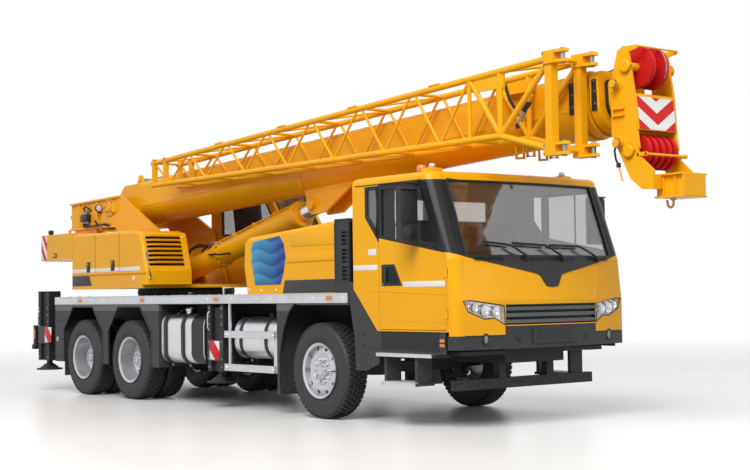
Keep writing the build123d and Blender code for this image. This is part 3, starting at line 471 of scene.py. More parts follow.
# %% The bench
class Piece:
    def __init__(self, name, side=""):
        self.name = f"{name}_{side}" if side else name
        self.side = side
        self.mesh = bmesh.new()
        self.finishes = []

    def join(self, form, finish, at=None):
        """Take a scratch mesh over into the piece, in one finish."""
        if finish not in self.finishes:
            self.finishes.append(finish)
        for face in form.faces:
            face.material_index = self.finishes.index(finish)
        if at is not None:
            form.transform(at)
        data = bpy.data.meshes.new("form")
        form.to_mesh(data)
        form.free()
        self.mesh.from_mesh(data)
        bpy.data.meshes.remove(data)
        return self

    def block(self, low, high, finish, soft=0.004, at=None):
        """Box between two corners with softened edges."""
        form = bmesh.new()
        low, high = (Vector(map(end, low, high)) for end in (min, max))
        size = Matrix.Diagonal((*(high - low), 1.0))
        bmesh.ops.create_cube(form, size=1.0, matrix=Matrix.Translation((low + high) / 2) @ size)
        soften(form, soft)
        return self.join(form, finish, at)

    def plate(self, outline, axis, start, end, finish, soft=0.002, at=None):
        """Outline in the two other axes, drawn out along one axis."""
        form = bmesh.new()
        near = [form.verts.new(on_axis(axis, start, a, b)) for a, b in outline]
        grown = bmesh.ops.extrude_face_region(form, geom=[form.faces.new(near)])["geom"]
        bmesh.ops.translate(form, vec=Vector(on_axis(axis, end - start, 0, 0)),
                            verts=[v for v in grown if isinstance(v, bmesh.types.BMVert)])
        bmesh.ops.recalc_face_normals(form, faces=form.faces)
        soften(form, soft)
        return self.join(form, finish, at)

    def lathe(self, profile, centre, axis, finish, turns=48, at=None):
        """Closed outline of radius and height along the axis, turned about it."""
        form = bmesh.new()
        rings = []
        for turn in (2 * pi * k / turns for k in range(turns)):
            spots = [on_axis(axis, h, r * cos(turn), r * sin(turn)) for r, h in profile]
            rings.append([form.verts.new(Vector(centre) + Vector(spot)) for spot in spots])
        for ring, after in zip(rings, rings[1:] + rings[:1]):
            for i in range(len(profile)):
                j = (i + 1) % len(profile)
                form.faces.new((ring[i], after[i], after[j], ring[j]))
        bmesh.ops.remove_doubles(form, verts=form.verts, dist=1e-6)
        bmesh.ops.recalc_face_normals(form, faces=form.faces)
        return self.join(form, finish, at)

    def stud(self, steps, centre, axis, finish, turns=24, at=None):
        """Solid turned from its steps of radius and height, closed to the axis at both ends."""
        profile = [(0, steps[0][1]), *steps]
        if steps[-1][0]:
            profile.append((0, steps[-1][1]))
        return self.lathe(profile, centre, axis, finish, turns, at)

    def skin(self, rows, back, finish):
        """Thin panel over a grid of points; back is the step to its inner face."""
        form = bmesh.new()
        near, far = ([[form.verts.new(Vector(p) + step) for p in row] for row in rows]
                     for step in (Vector(), Vector(back)))
        high, wide = len(rows), len(rows[0])
        for sheet in (near, far):
            for i in range(high - 1):
                for j in range(wide - 1):
                    form.faces.new((sheet[i][j], sheet[i][j + 1], sheet[i + 1][j + 1], sheet[i + 1][j]))
        border = [(0, j) for j in range(wide)] + [(i, wide - 1) for i in range(1, high)]
        border += [(high - 1, j) for j in range(wide - 2, -1, -1)] + [(i, 0) for i in range(high - 2, 0, -1)]
        for (i, j), (k, m) in zip(border, border[1:] + border[:1]):
            form.faces.new((near[i][j], near[k][m], far[k][m], far[i][j]))
        bmesh.ops.recalc_face_normals(form, faces=form.faces)
        return self.join(form, finish)

    def tube(self, points, radius, finish, sides=10):
        """Round bar through points, mitred at the corners and capped."""
        form = bmesh.new()
        points = [Vector(p) for p in points]
        steps = [(b - a).normalized() for a, b in zip(points, points[1:])]
        up = Vector((0, 0, 1)) if abs(steps[0].z) < 0.9 else Vector((1, 0, 0))
        rings = []
        for k, point in enumerate(points):
            before, after = steps[max(k - 1, 0)], steps[min(k, len(steps) - 1)]
            along = (before + after).normalized()
            side = along.cross(up).normalized()
            up = side.cross(along)
            wide = radius / max(0.5, along.dot(after))
            rings.append([form.verts.new(point + (side * cos(t) + up * sin(t)) * wide)
                          for t in (2 * pi * i / sides for i in range(sides))])
        for ring, after in zip(rings, rings[1:]):
            for i in range(sides):
                j = (i + 1) % sides
                form.faces.new((ring[i], ring[j], after[j], after[i]))
        form.faces.new(rings[0])
        form.faces.new(rings[-1])
        bmesh.ops.recalc_face_normals(form, faces=form.faces)
        return self.join(form, finish)

    def rim(self, corners, radius, finish, sides=8):
        """Round bar all the way round an opening."""
        return self.tube(corners + corners[:1], radius, finish, sides)

    def bolts(self, places, axis, radius, height, finish):
        """Hexagon heads with a small washer, standing along the axis."""
        washer, head = radius * 1.35, height * 0.2
        for place in places:
            self.stud([(washer, 0), (washer, head)], place, axis, finish, 12)
            self.stud([(radius, 0), (radius, height * 0.85), (radius * 0.8, height)], place, axis, finish, 6)
        return self

    def mirror(self):
        """Add the other side: a copy of all that is there, turned over the crane's middle plane."""
        whole = [*self.mesh.verts, *self.mesh.edges, *self.mesh.faces]
        turn_over(self.mesh, bmesh.ops.duplicate(self.mesh, geom=whole)["geom"])
        return self

    def put(self, body, slot, angle=32.0, bend=None):
        """Hand the piece to a body; when bend is given, the piece is attached to no body and stays fixed where
        it is.
        """
        if self.side == "right":
            turn_over(self.mesh, [*self.mesh.verts, *self.mesh.faces])
        data = bpy.data.meshes.new(self.name)
        self.mesh.to_mesh(data)
        self.mesh.free()
        for finish in self.finishes:
            data.materials.append(finish.material)
        data.polygons.foreach_set("use_smooth", [True] * len(data.polygons))
        data.set_sharp_from_angle(angle=radians(angle))
        made = bpy.data.objects.new(self.name, data)
        bpy.context.scene.collection.objects.link(made)
        if bend:
            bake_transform(made)
        else:
            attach(made, body)
        print(self.name, "on", body, len(data.polygons), "faces")
        return made


# %% What the bench leans on
def on_axis(axis, along, a, b):
    """Point from a height along one axis and its place across it."""
    return {"x": (along, a, b), "y": (a, along, b), "z": (a, b, along)}[axis]


def soften(form, width):
    """Round off every edge of a form."""
    if width:
        bmesh.ops.bevel(form, geom=list(form.edges), offset=width, segments=2, profile=0.6,
                        affect="EDGES", clamp_overlap=True)


def turn_over(mesh, part):
    """Mirror part of a mesh in the crane's middle plane and keep its faces outward."""
    for vert in (e for e in part if isinstance(e, bmesh.types.BMVert)):
        vert.co.y = -vert.co.y
    bmesh.ops.reverse_faces(mesh, faces=[e for e in part if isinstance(e, bmesh.types.BMFace)])


def ring(count, radius, centre, axis):
    """Places spread evenly round a circle."""
    turns = [2 * pi * k / count for k in range(count)]
    return [Vector(centre) + Vector(on_axis(axis, 0.0, radius * cos(t), radius * sin(t))) for t in turns]


def spread(low, high, count):
    """Values at equal steps, both ends included."""
    return [low + (high - low) * k / (count - 1) for k in range(count)]


SIDES = ("right", "left")
print("bench ready")

# %% [markdown]
# ## Tyres
# A truck tyre is a turned carcass with a bead, a flexing side wall and a deep tread. The frame's tyre
# is a plain ring, so the carcass is turned from a short outline and the tread is laid round it as
# separate tapered lugs, five rows to a tyre, the middle rows set half a pitch apart.

# %% Tyre
tyre_low, tyre_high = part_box("tyre_front_left")
TYRE_R = tyre_high.z / 2
TYRE_HALF = (tyre_high.y - tyre_low.y) / 2
RIM_R = 0.2925
GROOVE = 0.017
PITCHES = 54
# Each row: place across the tyre, width, start in pitches, share of a pitch that is rubber.
LUG_ROWS = ((-0.103, 0.040, 0.0, 0.70), (-0.052, 0.036, 0.5, 0.78), (0.0, 0.040, 0.0, 0.80),
            (0.052, 0.036, 0.5, 0.78), (0.103, 0.040, 0.0, 0.70))
SHOULDER, SHOULDER_DIP = 0.09, 0.006


def carcass():
    """Outline of radius and width, from one bead over the tread to the other."""
    w = TYRE_HALF
    half = [(RIM_R, w - 0.003), (0.312, w - 0.002), (0.318, w - 0.012), (0.332, w - 0.012),
            (0.345, w - 0.004), (0.395, w), (0.440, w - 0.001), (0.478, w - 0.006), (0.482, w - 0.003),
            (0.490, w - 0.004), (0.500, w - 0.014), (TYRE_R - GROOVE, w - 0.030)]
    return half + [(radius, -y) for radius, y in reversed(half)]


def lay_lug(form, centre, y, width, middle, reach):
    """One tread block, its crown smaller than its foot and lower at the tyre's shoulder."""
    foot, crown = [], []
    skew = 0.25 * reach * (1 if y >= 0 else -1)
    for across, turn in ((-1, -1), (1, -1), (1, 1), (-1, 1)):
        edge = y + across * width / 2
        dip = SHOULDER_DIP if abs(y) > SHOULDER and across * y > 0 else 0.0
        for corners, radius, shrink, narrow in ((foot, TYRE_R - GROOVE - 0.004, 1.0, 1.0),
                                                (crown, TYRE_R - 0.0008 - dip, 0.9, 0.985)):
            angle = middle + turn * reach * shrink + skew * across
            spot = Vector((radius * cos(angle), edge * narrow, radius * sin(angle)))
            corners.append(form.verts.new(Vector(centre) + spot))
    form.faces.new(crown)
    for i in range(4):
        j = (i + 1) % 4
        form.faces.new((foot[i], foot[j], crown[j], crown[i]))


def dress_tyre(node, body):
    low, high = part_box(node)
    middles = [low.y + TYRE_HALF]
    if high.y - low.y > 3 * TYRE_HALF:
        middles.append(high.y - TYRE_HALF)
    piece = Piece(node.replace("tyre", "tread"))
    for middle_y in middles:
        centre = ((low.x + high.x) / 2, middle_y, TYRE_R)
        piece.lathe(carcass(), centre, "y", RUBBER, 96)
        form = bmesh.new()
        for y, width, shift, fill in LUG_ROWS:
            for k in range(PITCHES):
                lay_lug(form, centre, y, width, 2 * pi * (k + shift) / PITCHES, pi * fill / PITCHES)
        bmesh.ops.recalc_face_normals(form, faces=form.faces)
        piece.join(form, RUBBER)
    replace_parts(piece.put(body, "rubber", 28.0), node)


WHEELS = [(place, side) for place in ("front", "rear1", "rear2") for side in SIDES]
for place, side in WHEELS:
    dress_tyre(f"tyre_{place}_{side}", f"wheel_{place}_{side}")

# %% [markdown]
# ## Wheel nuts and hubs
# Ten nuts hold each rim to its hub, and the hub carries a bolted cover. They are hexagons with
# washers, turned six-sided, on the same body as the wheel so they roll with it.

# %% Wheel nuts
# How far out the rim's disc and the hub's cover stand.
HUB_FACES = {"front": (1.191, 1.225), "rear1": (0.981, 1.127), "rear2": (0.981, 1.127)}


def dress_hub(place, side):
    """Nuts on the rim's disc, the bolted cover and the tyre valve."""
    low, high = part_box(f"rim_{place}_{side}")
    x = (low.x + high.x) / 2
    disc, cover = (Vector((x, y, TYRE_R)) for y in HUB_FACES[place])
    piece = Piece(f"hub_{place}", side)
    piece.bolts(ring(10, 0.126, disc, "y"), "y", 0.015, 0.030, WHEEL_METAL)
    piece.bolts(ring(8, 0.072, cover, "y"), "y", 0.008, 0.012, PIN_STEEL)
    piece.stud([(0.052, 0), (0.050, 0.008), (0.030, 0.013), (0, 0.014)], cover, "y", WHEEL_METAL, 40)
    lip = [(0.150, -0.002), (0.158, 0.006), (0.166, 0.004), (0.160, -0.004)]
    piece.lathe(lip, disc, "y", WHEEL_METAL, 64)
    valve = [(0.215, -0.01, 0), (0.227, 0.04, 0), (0.235, 0.06, 0)]
    piece.tube([disc + Vector(step) for step in valve], 0.006, TRIM_BLACK, 8)
    piece.put(f"wheel_{place}_{side}", "wheel_metal")


for place, side in WHEELS:
    dress_hub(place, side)

# %% [markdown]
# ## Two-colour panels
# The cab's pillars, the window frames and the grille's recess are black on amber panels, with one crisp
# edge between the coats. A second solid could stand for the black part, but on the real cab it is one
# pressing with tape or trim over it, so the second coat is laid where a test on the point holds.


# %% Second coats
TRIM = (0.018, 0.019, 0.021)
LINING = (0.46, 0.465, 0.47)


def second_coat(finish, mask, colour, roughness):
    """Lay another coat over a finish where the mask is 1."""
    colour_under, rough_under = (Field(finish.tree, finish.shader.inputs[name].links[0].from_socket)
                                 for name in ("Base Color", "Roughness"))
    return finish.set(Base_Color=finish.mix(mask, colour_under, colour),
                      Roughness=rough_under * (1 - mask) + roughness * mask)


def wear(node, finish):
    """Give one solid of the frame its own finish."""
    nodes[node].data.materials[0] = finish.material


CAB_PAINT = amber("cab_enamel")
x, y, z = CAB_PAINT.axes()
pillar = (z > 1.457 + 0.25 * y.size()) * (z < 2.512) * (x + 0.3667 * z > 4.505)
quarter = (x > 2.662) * (x < 2.90) * (z < 2.497) * (z + 1.21 * x > 5.395)
second_coat(CAB_PAINT, pillar + quarter, TRIM, 0.38)
lining = (y.size() < 1.206) * (x < 3.58) * (x > 2.494) * (z < 2.556)
second_coat(CAB_PAINT, lining, LINING, 0.7)
wear("cab_shell", CAB_PAINT)

DOOR_PAINT = amber("door_enamel")
x, y, z = DOOR_PAINT.axes()
second_coat(DOOR_PAINT, z + 0.178 * x > 2.4624, TRIM, 0.38)
second_coat(DOOR_PAINT, y.size() < 1.2115, LINING, 0.7)
for side in SIDES:
    wear(f"door_{side}", DOOR_PAINT)

NOSE_PAINT = amber("nose_enamel")
x, y, z = NOSE_PAINT.axes()
second_coat(NOSE_PAINT, (y.size() < 0.653) * (z > 1.039) * (z < 1.235), (0.008, 0.008, 0.009), 0.5)
wear("cab_nose", NOSE_PAINT)

BUMPER_TRIM = satin("bumper_plastic", (0.030, 0.031, 0.033), 0.44, 500.0)
second_coat(BUMPER_TRIM, BUMPER_TRIM.axes()[2] > 1.033, (0.105, 0.108, 0.112), 0.34)
wear("bumper", BUMPER_TRIM)

# %% Painted louvre shade, panes and small finishes
LOUVRE_FOOT, LOUVRE_STEP = 1.785, 0.060
HOOD_PAINT = amber("hood_enamel")
x, y, z = HOOD_PAINT.axes()
grille = (z > LOUVRE_FOOT) * (z < 2.198) * (y > -1.132) * (y < -0.598) * (x > -2.42)
# Painted shade: the louvre openings and the shadow under each lip are one dark band over 58% of every step in
# height.
louvre_shade = grille * (((z - LOUVRE_FOOT) / LOUVRE_STEP).part() < 0.58)
second_coat(HOOD_PAINT, louvre_shade, (0.030, 0.016, 0.006), 0.6)
wear("machinery_cover", HOOD_PAINT)

# Alpha thins the gloss as well as the tint, so these panes get a higher IOR to mirror the white studio.
SCREEN = pane("cab_panes", (0.050, 0.052, 0.054), 0.28).set(IOR=3.0, Specular_IOR_Level=1.0)
SCREEN.set(Alpha=0.20 + 0.08 * (SCREEN.axes()[0] > 3.30))
wear("cab_glass", SCREEN)

WHITE = enamel("stripe_white", (0.80, 0.80, 0.78), (0.72, 0.72, 0.70), 0.35)
CHROME = brushed("lamp_chrome", (0.80, 0.81, 0.83), 0.08, (6.0, 6.0, 6.0))
GLOSS_BLACK = enamel("gloss_black", (0.010, 0.010, 0.011), (0.006, 0.006, 0.007), 0.16)
print("second coats laid")

# %% [markdown]
# ## The cab's front as a surface
# The nose is bowed in plan and leans back in two steps. Trim has to lie on that surface, so the bow
# is written once as a circle through three points and every piece asks it for its own X.

# %% Where the cab's front is
# Each level: height, foremost X, and X and Y where the bow ends.
FRONTS = ((1.290, 4.195, 4.070, 1.150), (1.700, 4.120, 4.025, 1.100), (2.600, 3.780, 3.705, 1.070))


def bow(nose, end_x, end_y, y):
    """X of the arc through the nose and its two ends, at one width."""
    rise = nose - end_x
    radius = (end_y ** 2 + rise ** 2) / (2 * rise)
    return nose - radius + sqrt(max(radius ** 2 - y ** 2, 0.0))


def on_front(y, z, lift=0.0):
    """Point on the cab's front at this width and height, lifted off it."""
    heights = [level[0] for level in FRONTS]
    bows = [bow(*level[1:], y) for level in FRONTS]
    if z <= heights[0]:
        return Vector((bows[0] + lift, y, z))
    k = 0 if z <= heights[1] else 1
    share = (z - heights[k]) / (heights[k + 1] - heights[k])
    lean = (bows[k] - bows[k + 1]) / (heights[k + 1] - heights[k])
    across = Vector((1.0, 0.0, lean)).normalized() * lift
    return Vector((bows[k] + share * (bows[k + 1] - bows[k]), y, z)) + across


def edge_height(edge, y):
    """Height of an edge, given as width against height, at one width."""
    for (y0, z0), (y1, z1) in zip(edge, edge[1:]):
        if abs(y) <= y1 + 1e-6:
            return z0 + (z1 - z0) * (abs(y) - y0) / (y1 - y0)
    return edge[-1][1]


print("windscreen foot at", on_front(0.0, 1.73))

# %% [markdown]
# ## Windscreen cowl, seal and wipers
# Below the glass a black cowl comes down to a point in the middle and carries three wipers. It is a
# thin skin over the bow; its lower edge is one outline of width against height. The wipers' arms rise
# to the right side of the cab, and each blade is a spine with a rubber lip.

# %% Cowl and seal
COWL_EDGE = ((0.0, 1.412), (0.085, 1.424), (0.16, 1.535), (0.22, 1.556), (0.80, 1.668), (1.085, 1.728))
COWL_SPANS = ((0, 0.085, 4), (0.085, 0.16, 5), (0.16, 0.22, 3), (0.22, 1.085, 14))
GLASS_FOOT, GLASS_TOP, GLASS_HALF = 1.738, 2.505, 1.050

cowl = Piece("windscreen_cowl")
widths = sorted({sign * y for sign in (-1, 1) for span in COWL_SPANS for y in spread(*span)})
cowl.skin([[on_front(y, edge_height(COWL_EDGE, y) * (1 - step) + GLASS_FOOT * step, 0.007) for y in widths]
           for step in spread(0.0, 1.0, 9)], (-0.016, 0, -0.002), TRIM_BLACK)
for y0, y1 in ((-0.98, -0.62), (-0.40, 0.40), (0.62, 0.98)):
    for z in (1.715 - 0.007 * k for k in range(5)):
        cowl.tube([on_front(y, z, 0.0085) for y in spread(y0, y1, 8)], 0.0022, GLOSS_BLACK, 6)
cowl.put("carrier", "dark_plastic")

seal = Piece("windscreen_seal")
seal_foot = GLASS_FOOT - 0.006
loop = [(y, seal_foot) for y in spread(-GLASS_HALF, GLASS_HALF, 17)]
loop += [(GLASS_HALF, z) for z in spread(GLASS_FOOT, GLASS_TOP, 12)]
loop += [(y, GLASS_TOP) for y in spread(GLASS_HALF, -GLASS_HALF, 17)]
loop += [(-GLASS_HALF, z) for z in spread(GLASS_TOP, seal_foot, 12)]
seal.tube([on_front(y, z, 0.001) for y, z in loop], 0.011, TRIM_BLACK, 8)
seal.put("carrier", "rubber")

# %% Wipers
# Width and height of each wiper's pivot, elbow and tip.
WIPERS = (((-0.311, 1.708), (-0.505, 1.824), (-0.83, 1.862)),
          ((0.217, 1.700), (-0.008, 1.822), (-0.46, 1.850)),
          ((0.783, 1.700), (0.517, 1.815), (0.06, 1.832)))
WIPER_LIFTS = (0.010, 0.045, 0.022)
PIVOT_CAP = [(0.034, -0.010), (0.030, 0.018), (0.018, 0.032), (0, 0.034)]

wipers = Piece("wipers")
for places in WIPERS:
    base, bend, end = (on_front(y, z, lift) for (y, z), lift in zip(places, WIPER_LIFTS))
    wipers.stud(PIVOT_CAP, base, "x", TRIM_BLACK, 20)
    wipers.tube([base + Vector((0.024, 0, 0)), base.lerp(bend, 0.3) + Vector((0.035, 0, 0)), bend],
                0.0115, HOSE)
    wipers.tube([base + Vector((0.02, 0.07, -0.004)), bend.lerp(end, 0.10) + Vector((0.006, 0, 0.004))],
                0.0065, HOSE)
    blade = [bend.lerp(end, t) for t in spread(-0.02, 1, 9)]
    blade = [on_front(p.y, p.z, 0.020) for p in blade]
    wipers.tube(blade, 0.0120, HOSE, 8)
    wipers.tube([p + Vector((-0.008, 0, 0)) for p in blade], 0.0042, HOSE, 6)
    for p in blade[1::2]:
        clip = [(0.004, 0.03, 0), (0.016, 0, 0), (0.004, -0.03, 0)]
        wipers.tube([p + Vector(step) for step in clip], 0.004, TRIM_BLACK, 6)
wipers.put("carrier", "dark_plastic")

# %% [markdown]
# ## Headlamps and fog lamps
# Behind each clear lens sit a dark bezel, a projector and a reflector bowl, a strip of running light
# and an amber indicator. They are modelled inside the lens' own depth so the clear cover reads as one.

# %% Lamps in the nose
LAMP_TOP = ((0.674, 1.234), (1.080, 1.290), (1.150, 1.285))
LAMP_FOOT = ((0.664, 1.042), (0.790, 1.112), (0.915, 1.104), (1.100, 1.180), (1.150, 1.285))
BOWL = [(0.0, -0.030), (0.020, -0.030), (0.044, -0.018), (0.056, 0.0), (0.060, 0.002), (0.060, -0.004),
        (0.046, -0.024), (0.020, -0.036), (0.0, -0.036)]
BULB = [(0.0, 0.004), (0.016, 0.0), (0.026, -0.010), (0.030, -0.024), (0.0, -0.026)]
BEZEL = [(0.058, -0.006), (0.066, -0.003), (0.066, 0.001), (0.058, 0.0)]
# Width, height and size of the three bowls.
PROJECTORS = ((0.780, 1.178, 0.80), (0.905, 1.188, 0.95), (1.020, 1.215, 0.70))


def dress_lamps(side):
    inner = Piece("headlamp_inner", side)

    def in_lens(y, step):
        height = edge_height(LAMP_FOOT, y) * (1 - step) + edge_height(LAMP_TOP, y) * step
        return on_front(y, height, -0.034)

    inner.skin([[in_lens(y, step) for y in spread(0.684, 1.136, 15)] for step in spread(0.04, 0.96, 7)],
               (-0.004, 0, 0), CHROME)
    for y, z, size in PROJECTORS:
        for outline, finish, turns in ((BOWL, CHROME, 32), (BULB, WHITE_LENS, 24), (BEZEL, TRIM_BLACK, 32)):
            scaled = [(r * size, h) for r, h in outline]
            inner.lathe(scaled, on_front(y, z, -0.004), "x", finish, turns)
    for k, finish in enumerate((AMBER_LENS, AMBER_LENS, AMBER_LENS, RED_LENS)):
        inner.block((0, -0.007, -0.020), (0.010, 0.007, 0.020), finish, 0.003,
                    Matrix.Translation(on_front(1.070 + 0.017 * k, 1.258, -0.020)))
    strip = [on_front(y, edge_height(LAMP_FOOT, y) + 0.016, -0.008) for y in spread(0.70, 1.09, 14)]
    inner.tube(strip, 0.0055, WHITE_LENS, 8)
    edge = [on_front(y, edge_height(LAMP_TOP, y) + 0.001, 0.001) for y in spread(0.674, 1.150, 12)]
    edge += [on_front(y, edge_height(LAMP_FOOT, y) - 0.001, 0.001) for y in spread(1.150, 0.664, 20)]
    inner.rim(edge, 0.0045, TRIM_BLACK, 6)
    inner.put("carrier", "lamp")

    fog = Piece("fog_lamp", side)
    tall = Matrix.Translation(on_front(0.90, 0.902)) @ Matrix.Diagonal((1, 0.72, 1.15, 1))
    fog.stud([(0.038, 0.004), (0.040, 0.010), (0.052, 0.012), (0.056, -0.02)], (0, 0, 0), "x",
             TRIM_BLACK, 32, tall)
    fog.lathe([(0.0, 0.016), (0.022, 0.013), (0.037, 0.006), (0.037, -0.01), (0, -0.01)], (0, 0, 0), "x",
              CLEAR, 32, tall)
    fog.put("carrier", "lamp")


for side in SIDES:
    dress_lamps(side)

# %% [markdown]
# ## Doors, mirrors and cab side
# Each door has a recessed black handle, a white stripe, pressed creases and a rubber-edged window; the
# mirror on it has a main glass and a rounder one below. All of it must swing with the door, so these
# pieces ride on the door's body, while the panel behind the door rides on the carrier.

# %% Door trim
DOOR_Y, CAB_Y = 1.248, 1.250
WINDOW = ((2.930, 1.970), (3.800, 1.805), (3.560, 2.460), (2.930, 2.460))
HANDLE = ((2.926, 1.447), (3.258, 1.447), (3.140, 1.672), (2.926, 1.672))
CREASES = (((2.905, 1.397), (3.918, 1.353), 0.005), ((3.12, 1.090), (3.918, 1.084), 0.004))


def at_side(y, outline):
    """Points of X and Z at one distance from the crane's middle."""
    return [(x, y, z) for x, z in outline]


def dress_door(side):
    trim = Piece("door_trim", side)
    trim.block((3.275, DOOR_Y - 0.002, 1.433), (3.918, DOOR_Y + 0.0015, 1.489), WHITE, 0.0005)
    trim.plate(HANDLE, "y", DOOR_Y - 0.01, DOOR_Y + 0.004, TRIM_BLACK, 0.006)
    recess = [(3.02 + (x - 3.02) * 0.82, 1.555 + (z - 1.555) * 0.80) for x, z in HANDLE]
    trim.plate(recess, "y", DOOR_Y + 0.001, DOOR_Y + 0.0055, GLOSS_BLACK, 0.004)
    trim.block((2.990, DOOR_Y, 1.485), (3.026, DOOR_Y + 0.024, 1.640), TRIM_BLACK, 0.010)
    trim.stud([(0.011, 0), (0.011, 0.006), (0.004, 0.007)], (2.958, DOOR_Y + 0.004, 1.468), "y",
              PIN_STEEL, 16)
    for start, end, size in CREASES:
        trim.tube(at_side(DOOR_Y - 0.001, (start, end)), size, DOOR_PAINT, 8)
    trim.rim(at_side(DOOR_Y - 0.004, WINDOW), 0.009, TRIM_BLACK)
    trim.tube(at_side(DOOR_Y - 0.018, ((3.36, 1.895), (3.36, 2.455))), 0.010, TRIM_BLACK, 8)
    trim.put(f"door_{side}", "dark_plastic")


# %% Mirrors
MIRROR_LOW, MIRROR_HIGH = Vector((3.470, 1.275, 1.890)), Vector((3.560, 1.515, 2.415))
MIRROR_DOME = [(0.0, 0.030), (0.035, 0.026), (0.066, 0.014), (0.084, 0.0), (0.084, -0.01), (0, -0.01)]


def dress_mirror(side):
    mirror = Piece("mirror_trim", side)
    x0, y0, z0 = MIRROR_LOW
    x1, y1, z1 = MIRROR_HIGH
    for low, high in ((2.070, z1 - 0.02), (z0 + 0.02, 2.045)):
        mirror.block((x0 - 0.004, y0 + 0.016, low), (x0 + 0.004, y1 - 0.016, high), CHROME, 0.002)
    mirror.block((x1 - 0.004, y0 + 0.014, 2.075), (x1 + 0.010, y1 - 0.014, z1 - 0.016), TRIM_BLACK, 0.008)
    mirror.lathe(MIRROR_DOME, (x1, (y0 + y1) / 2, 1.972), "x", TRIM_BLACK, 40)
    hood = [(x0 + 0.02, z1 - 0.004), (x1 + 0.03, z1 - 0.004), (x1 + 0.016, z1 + 0.014),
            (x0 + 0.03, z1 + 0.018)]
    mirror.plate(hood, "y", y0 + 0.01, y1 - 0.01, TRIM_BLACK, 0.004)
    mirror.stud([(0.028, -0.02), (0.032, 0.0), (0.028, 0.02)], (3.520, DOOR_Y + 0.020, 2.480), "y",
                TRIM_BLACK, 20)
    mirror.put(f"door_{side}", "dark_plastic")


# %% Panel behind the door
QUARTER = ((2.690, 2.470), (2.690, 2.190), (2.855, 1.990), (2.855, 2.470))


def dress_cab_side(side):
    panel = Piece("cab_side", side)
    panel.block((2.456, CAB_Y - 0.002, 1.618), (2.862, CAB_Y + 0.0015, 1.672), WHITE, 0.0005)
    panel.block((2.712, CAB_Y - 0.002, 1.770), (2.846, CAB_Y + 0.004, 1.838), WHITE, 0.003)
    panel.tube(at_side(CAB_Y - 0.001, ((2.69, 1.404), (2.872, 1.398))), 0.005, PAINT, 8)
    panel.rim(at_side(CAB_Y - 0.005, QUARTER), 0.009, TRIM_BLACK)
    panel.tube(at_side(CAB_Y - 0.006, ((2.50, 2.512), (3.585, 2.512))), 0.009, TRIM_BLACK, 8)
    for z in (0.894, 0.848):
        panel.block((3.830, 1.244, z - 0.017), (3.898, 1.256, z + 0.017), AMBER_LENS, 0.005)
        panel.block((3.824, 1.244, z - 0.022), (3.904, 1.249, z + 0.022), TRIM_BLACK, 0.003)
    panel.put("carrier", "dark_plastic")


for side in SIDES:
    dress_door(side)
    dress_mirror(side)
    dress_cab_side(side)

# %% [markdown]
# ## Roof lamps and bumper
# An amber beacon and small white lamps on painted stands sit on the roof, below the boom. The bumper
# has a raised middle block with a tow pin cover each side, and the steps have pressed silver treads.

# %% Roof lamps, bumper block and steps
ROOF_Z = 2.600
BEACON = (3.250, -0.95, ROOF_Z)
roof = Piece("roof_lamps")
roof.stud([(0.074, -0.004), (0.074, 0.022), (0.062, 0.030)], BEACON, "z", TRIM_BLACK, 32)
roof.stud([(0.056, 0.028), (0.056, 0.060), (0.054, 0.082), (0.044, 0.098), (0.022, 0.106), (0, 0.107)],
          BEACON, "z", AMBER_LENS, 40)
for x, y in ((3.565, -1.085), (3.480, 0.900)):
    roof.block((x - 0.075, y - 0.085, ROOF_Z - 0.03), (x + 0.075, y + 0.085, ROOF_Z + 0.040), PAINT, 0.018)
    roof.stud([(0.046, 0.036), (0.046, 0.046), (0.036, 0.052)], (x, y, ROOF_Z), "z", PIN_STEEL)
    roof.stud([(0.034, 0.05), (0.034, 0.072), (0.024, 0.086), (0, 0.090)], (x, y, ROOF_Z), "z", WHITE_LENS, 28)
roof.put("carrier", "lamp")

front = Piece("bumper_trim")
front.stud([(0.034, 0.010), (0.042, 0.004), (0.042, -0.02)], on_front(0.48, 0.905), "x", TRIM_BLACK, 28)
front.tube([on_front(y, 0.9385, 0.002) for y in spread(0.665, 1.135, 10)], 0.0055, TRIM_BLACK, 6)
seam = [on_front(0.640 + 0.16 * t, 1.265 + 0.395 * t, 0.0005) for t in spread(0, 1, 8)]
front.tube(seam, 0.0045, NOSE_PAINT, 6)
front.mirror()
for across, up, lift, back, finish in (((-0.315, 0.315, 12), (0.850, 1.012, 5), 0.016, -0.03, BUMPER_TRIM),
                                       ((-0.26, 0.26, 10), (0.880, 0.985, 3), 0.019, -0.02, TRIM_BLACK)):
    front.skin([[on_front(y, z, lift) for y in spread(*across)] for z in spread(*up)], (back, 0, 0), finish)
front.tube([on_front(y, 1.2385, 0.002) for y in spread(-0.655, 0.655, 16)], 0.006, GLOSS_BLACK, 6)
front.put("carrier", "dark_plastic")

steps = Piece("step_treads")
for x0, x1, z in ((2.815, 3.695, 0.750), (2.915, 3.440, 0.455)):
    steps.block((x0, 1.015, z - 0.004), (x1, 1.246, z + 0.006), SILVER, 0.003)
    for y in (1.034 + 0.032 * k for k in range(7)):
        steps.block((x0 + 0.02, y - 0.006, z + 0.004), (x1 - 0.02, y + 0.006, z + 0.011), SILVER, 0.003)
    steps.block((x0, 1.2435, z - 0.032), (x1, 1.2495, z + 0.004), SILVER, 0.002)
steps.mirror().put("carrier", "silver")

# %% [markdown]
# ## Warning plates
# Outriggers, counterweight and boom head wear slanting red and white bands. A picture would do it, but
# the bands are only a sum of two coordinates cut into equal parts, so a test on the point paints them
# sharply at any size.


# %% Red and white bands
SIGNAL_RED = (0.66, 0.012, 0.014)


def banded(name, run):
    """White sheet with red bands; run counts the bands from the point's three coordinates."""
    made = enamel(name, (0.84, 0.84, 0.82), (0.76, 0.76, 0.74), 0.30, 0.04)
    return second_coat(made, (run(*made.axes()) + 0.25).part() < 0.5, SIGNAL_RED, 0.30)


BEAM_BANDS = {"right": banded("beam_bands_right", lambda x, y, z: (x + z - 0.359) / 0.4072),
              "left": banded("beam_bands_left", lambda x, y, z: (z - x - 0.851) / 0.4072)}
BEAM_Y = 1.2352
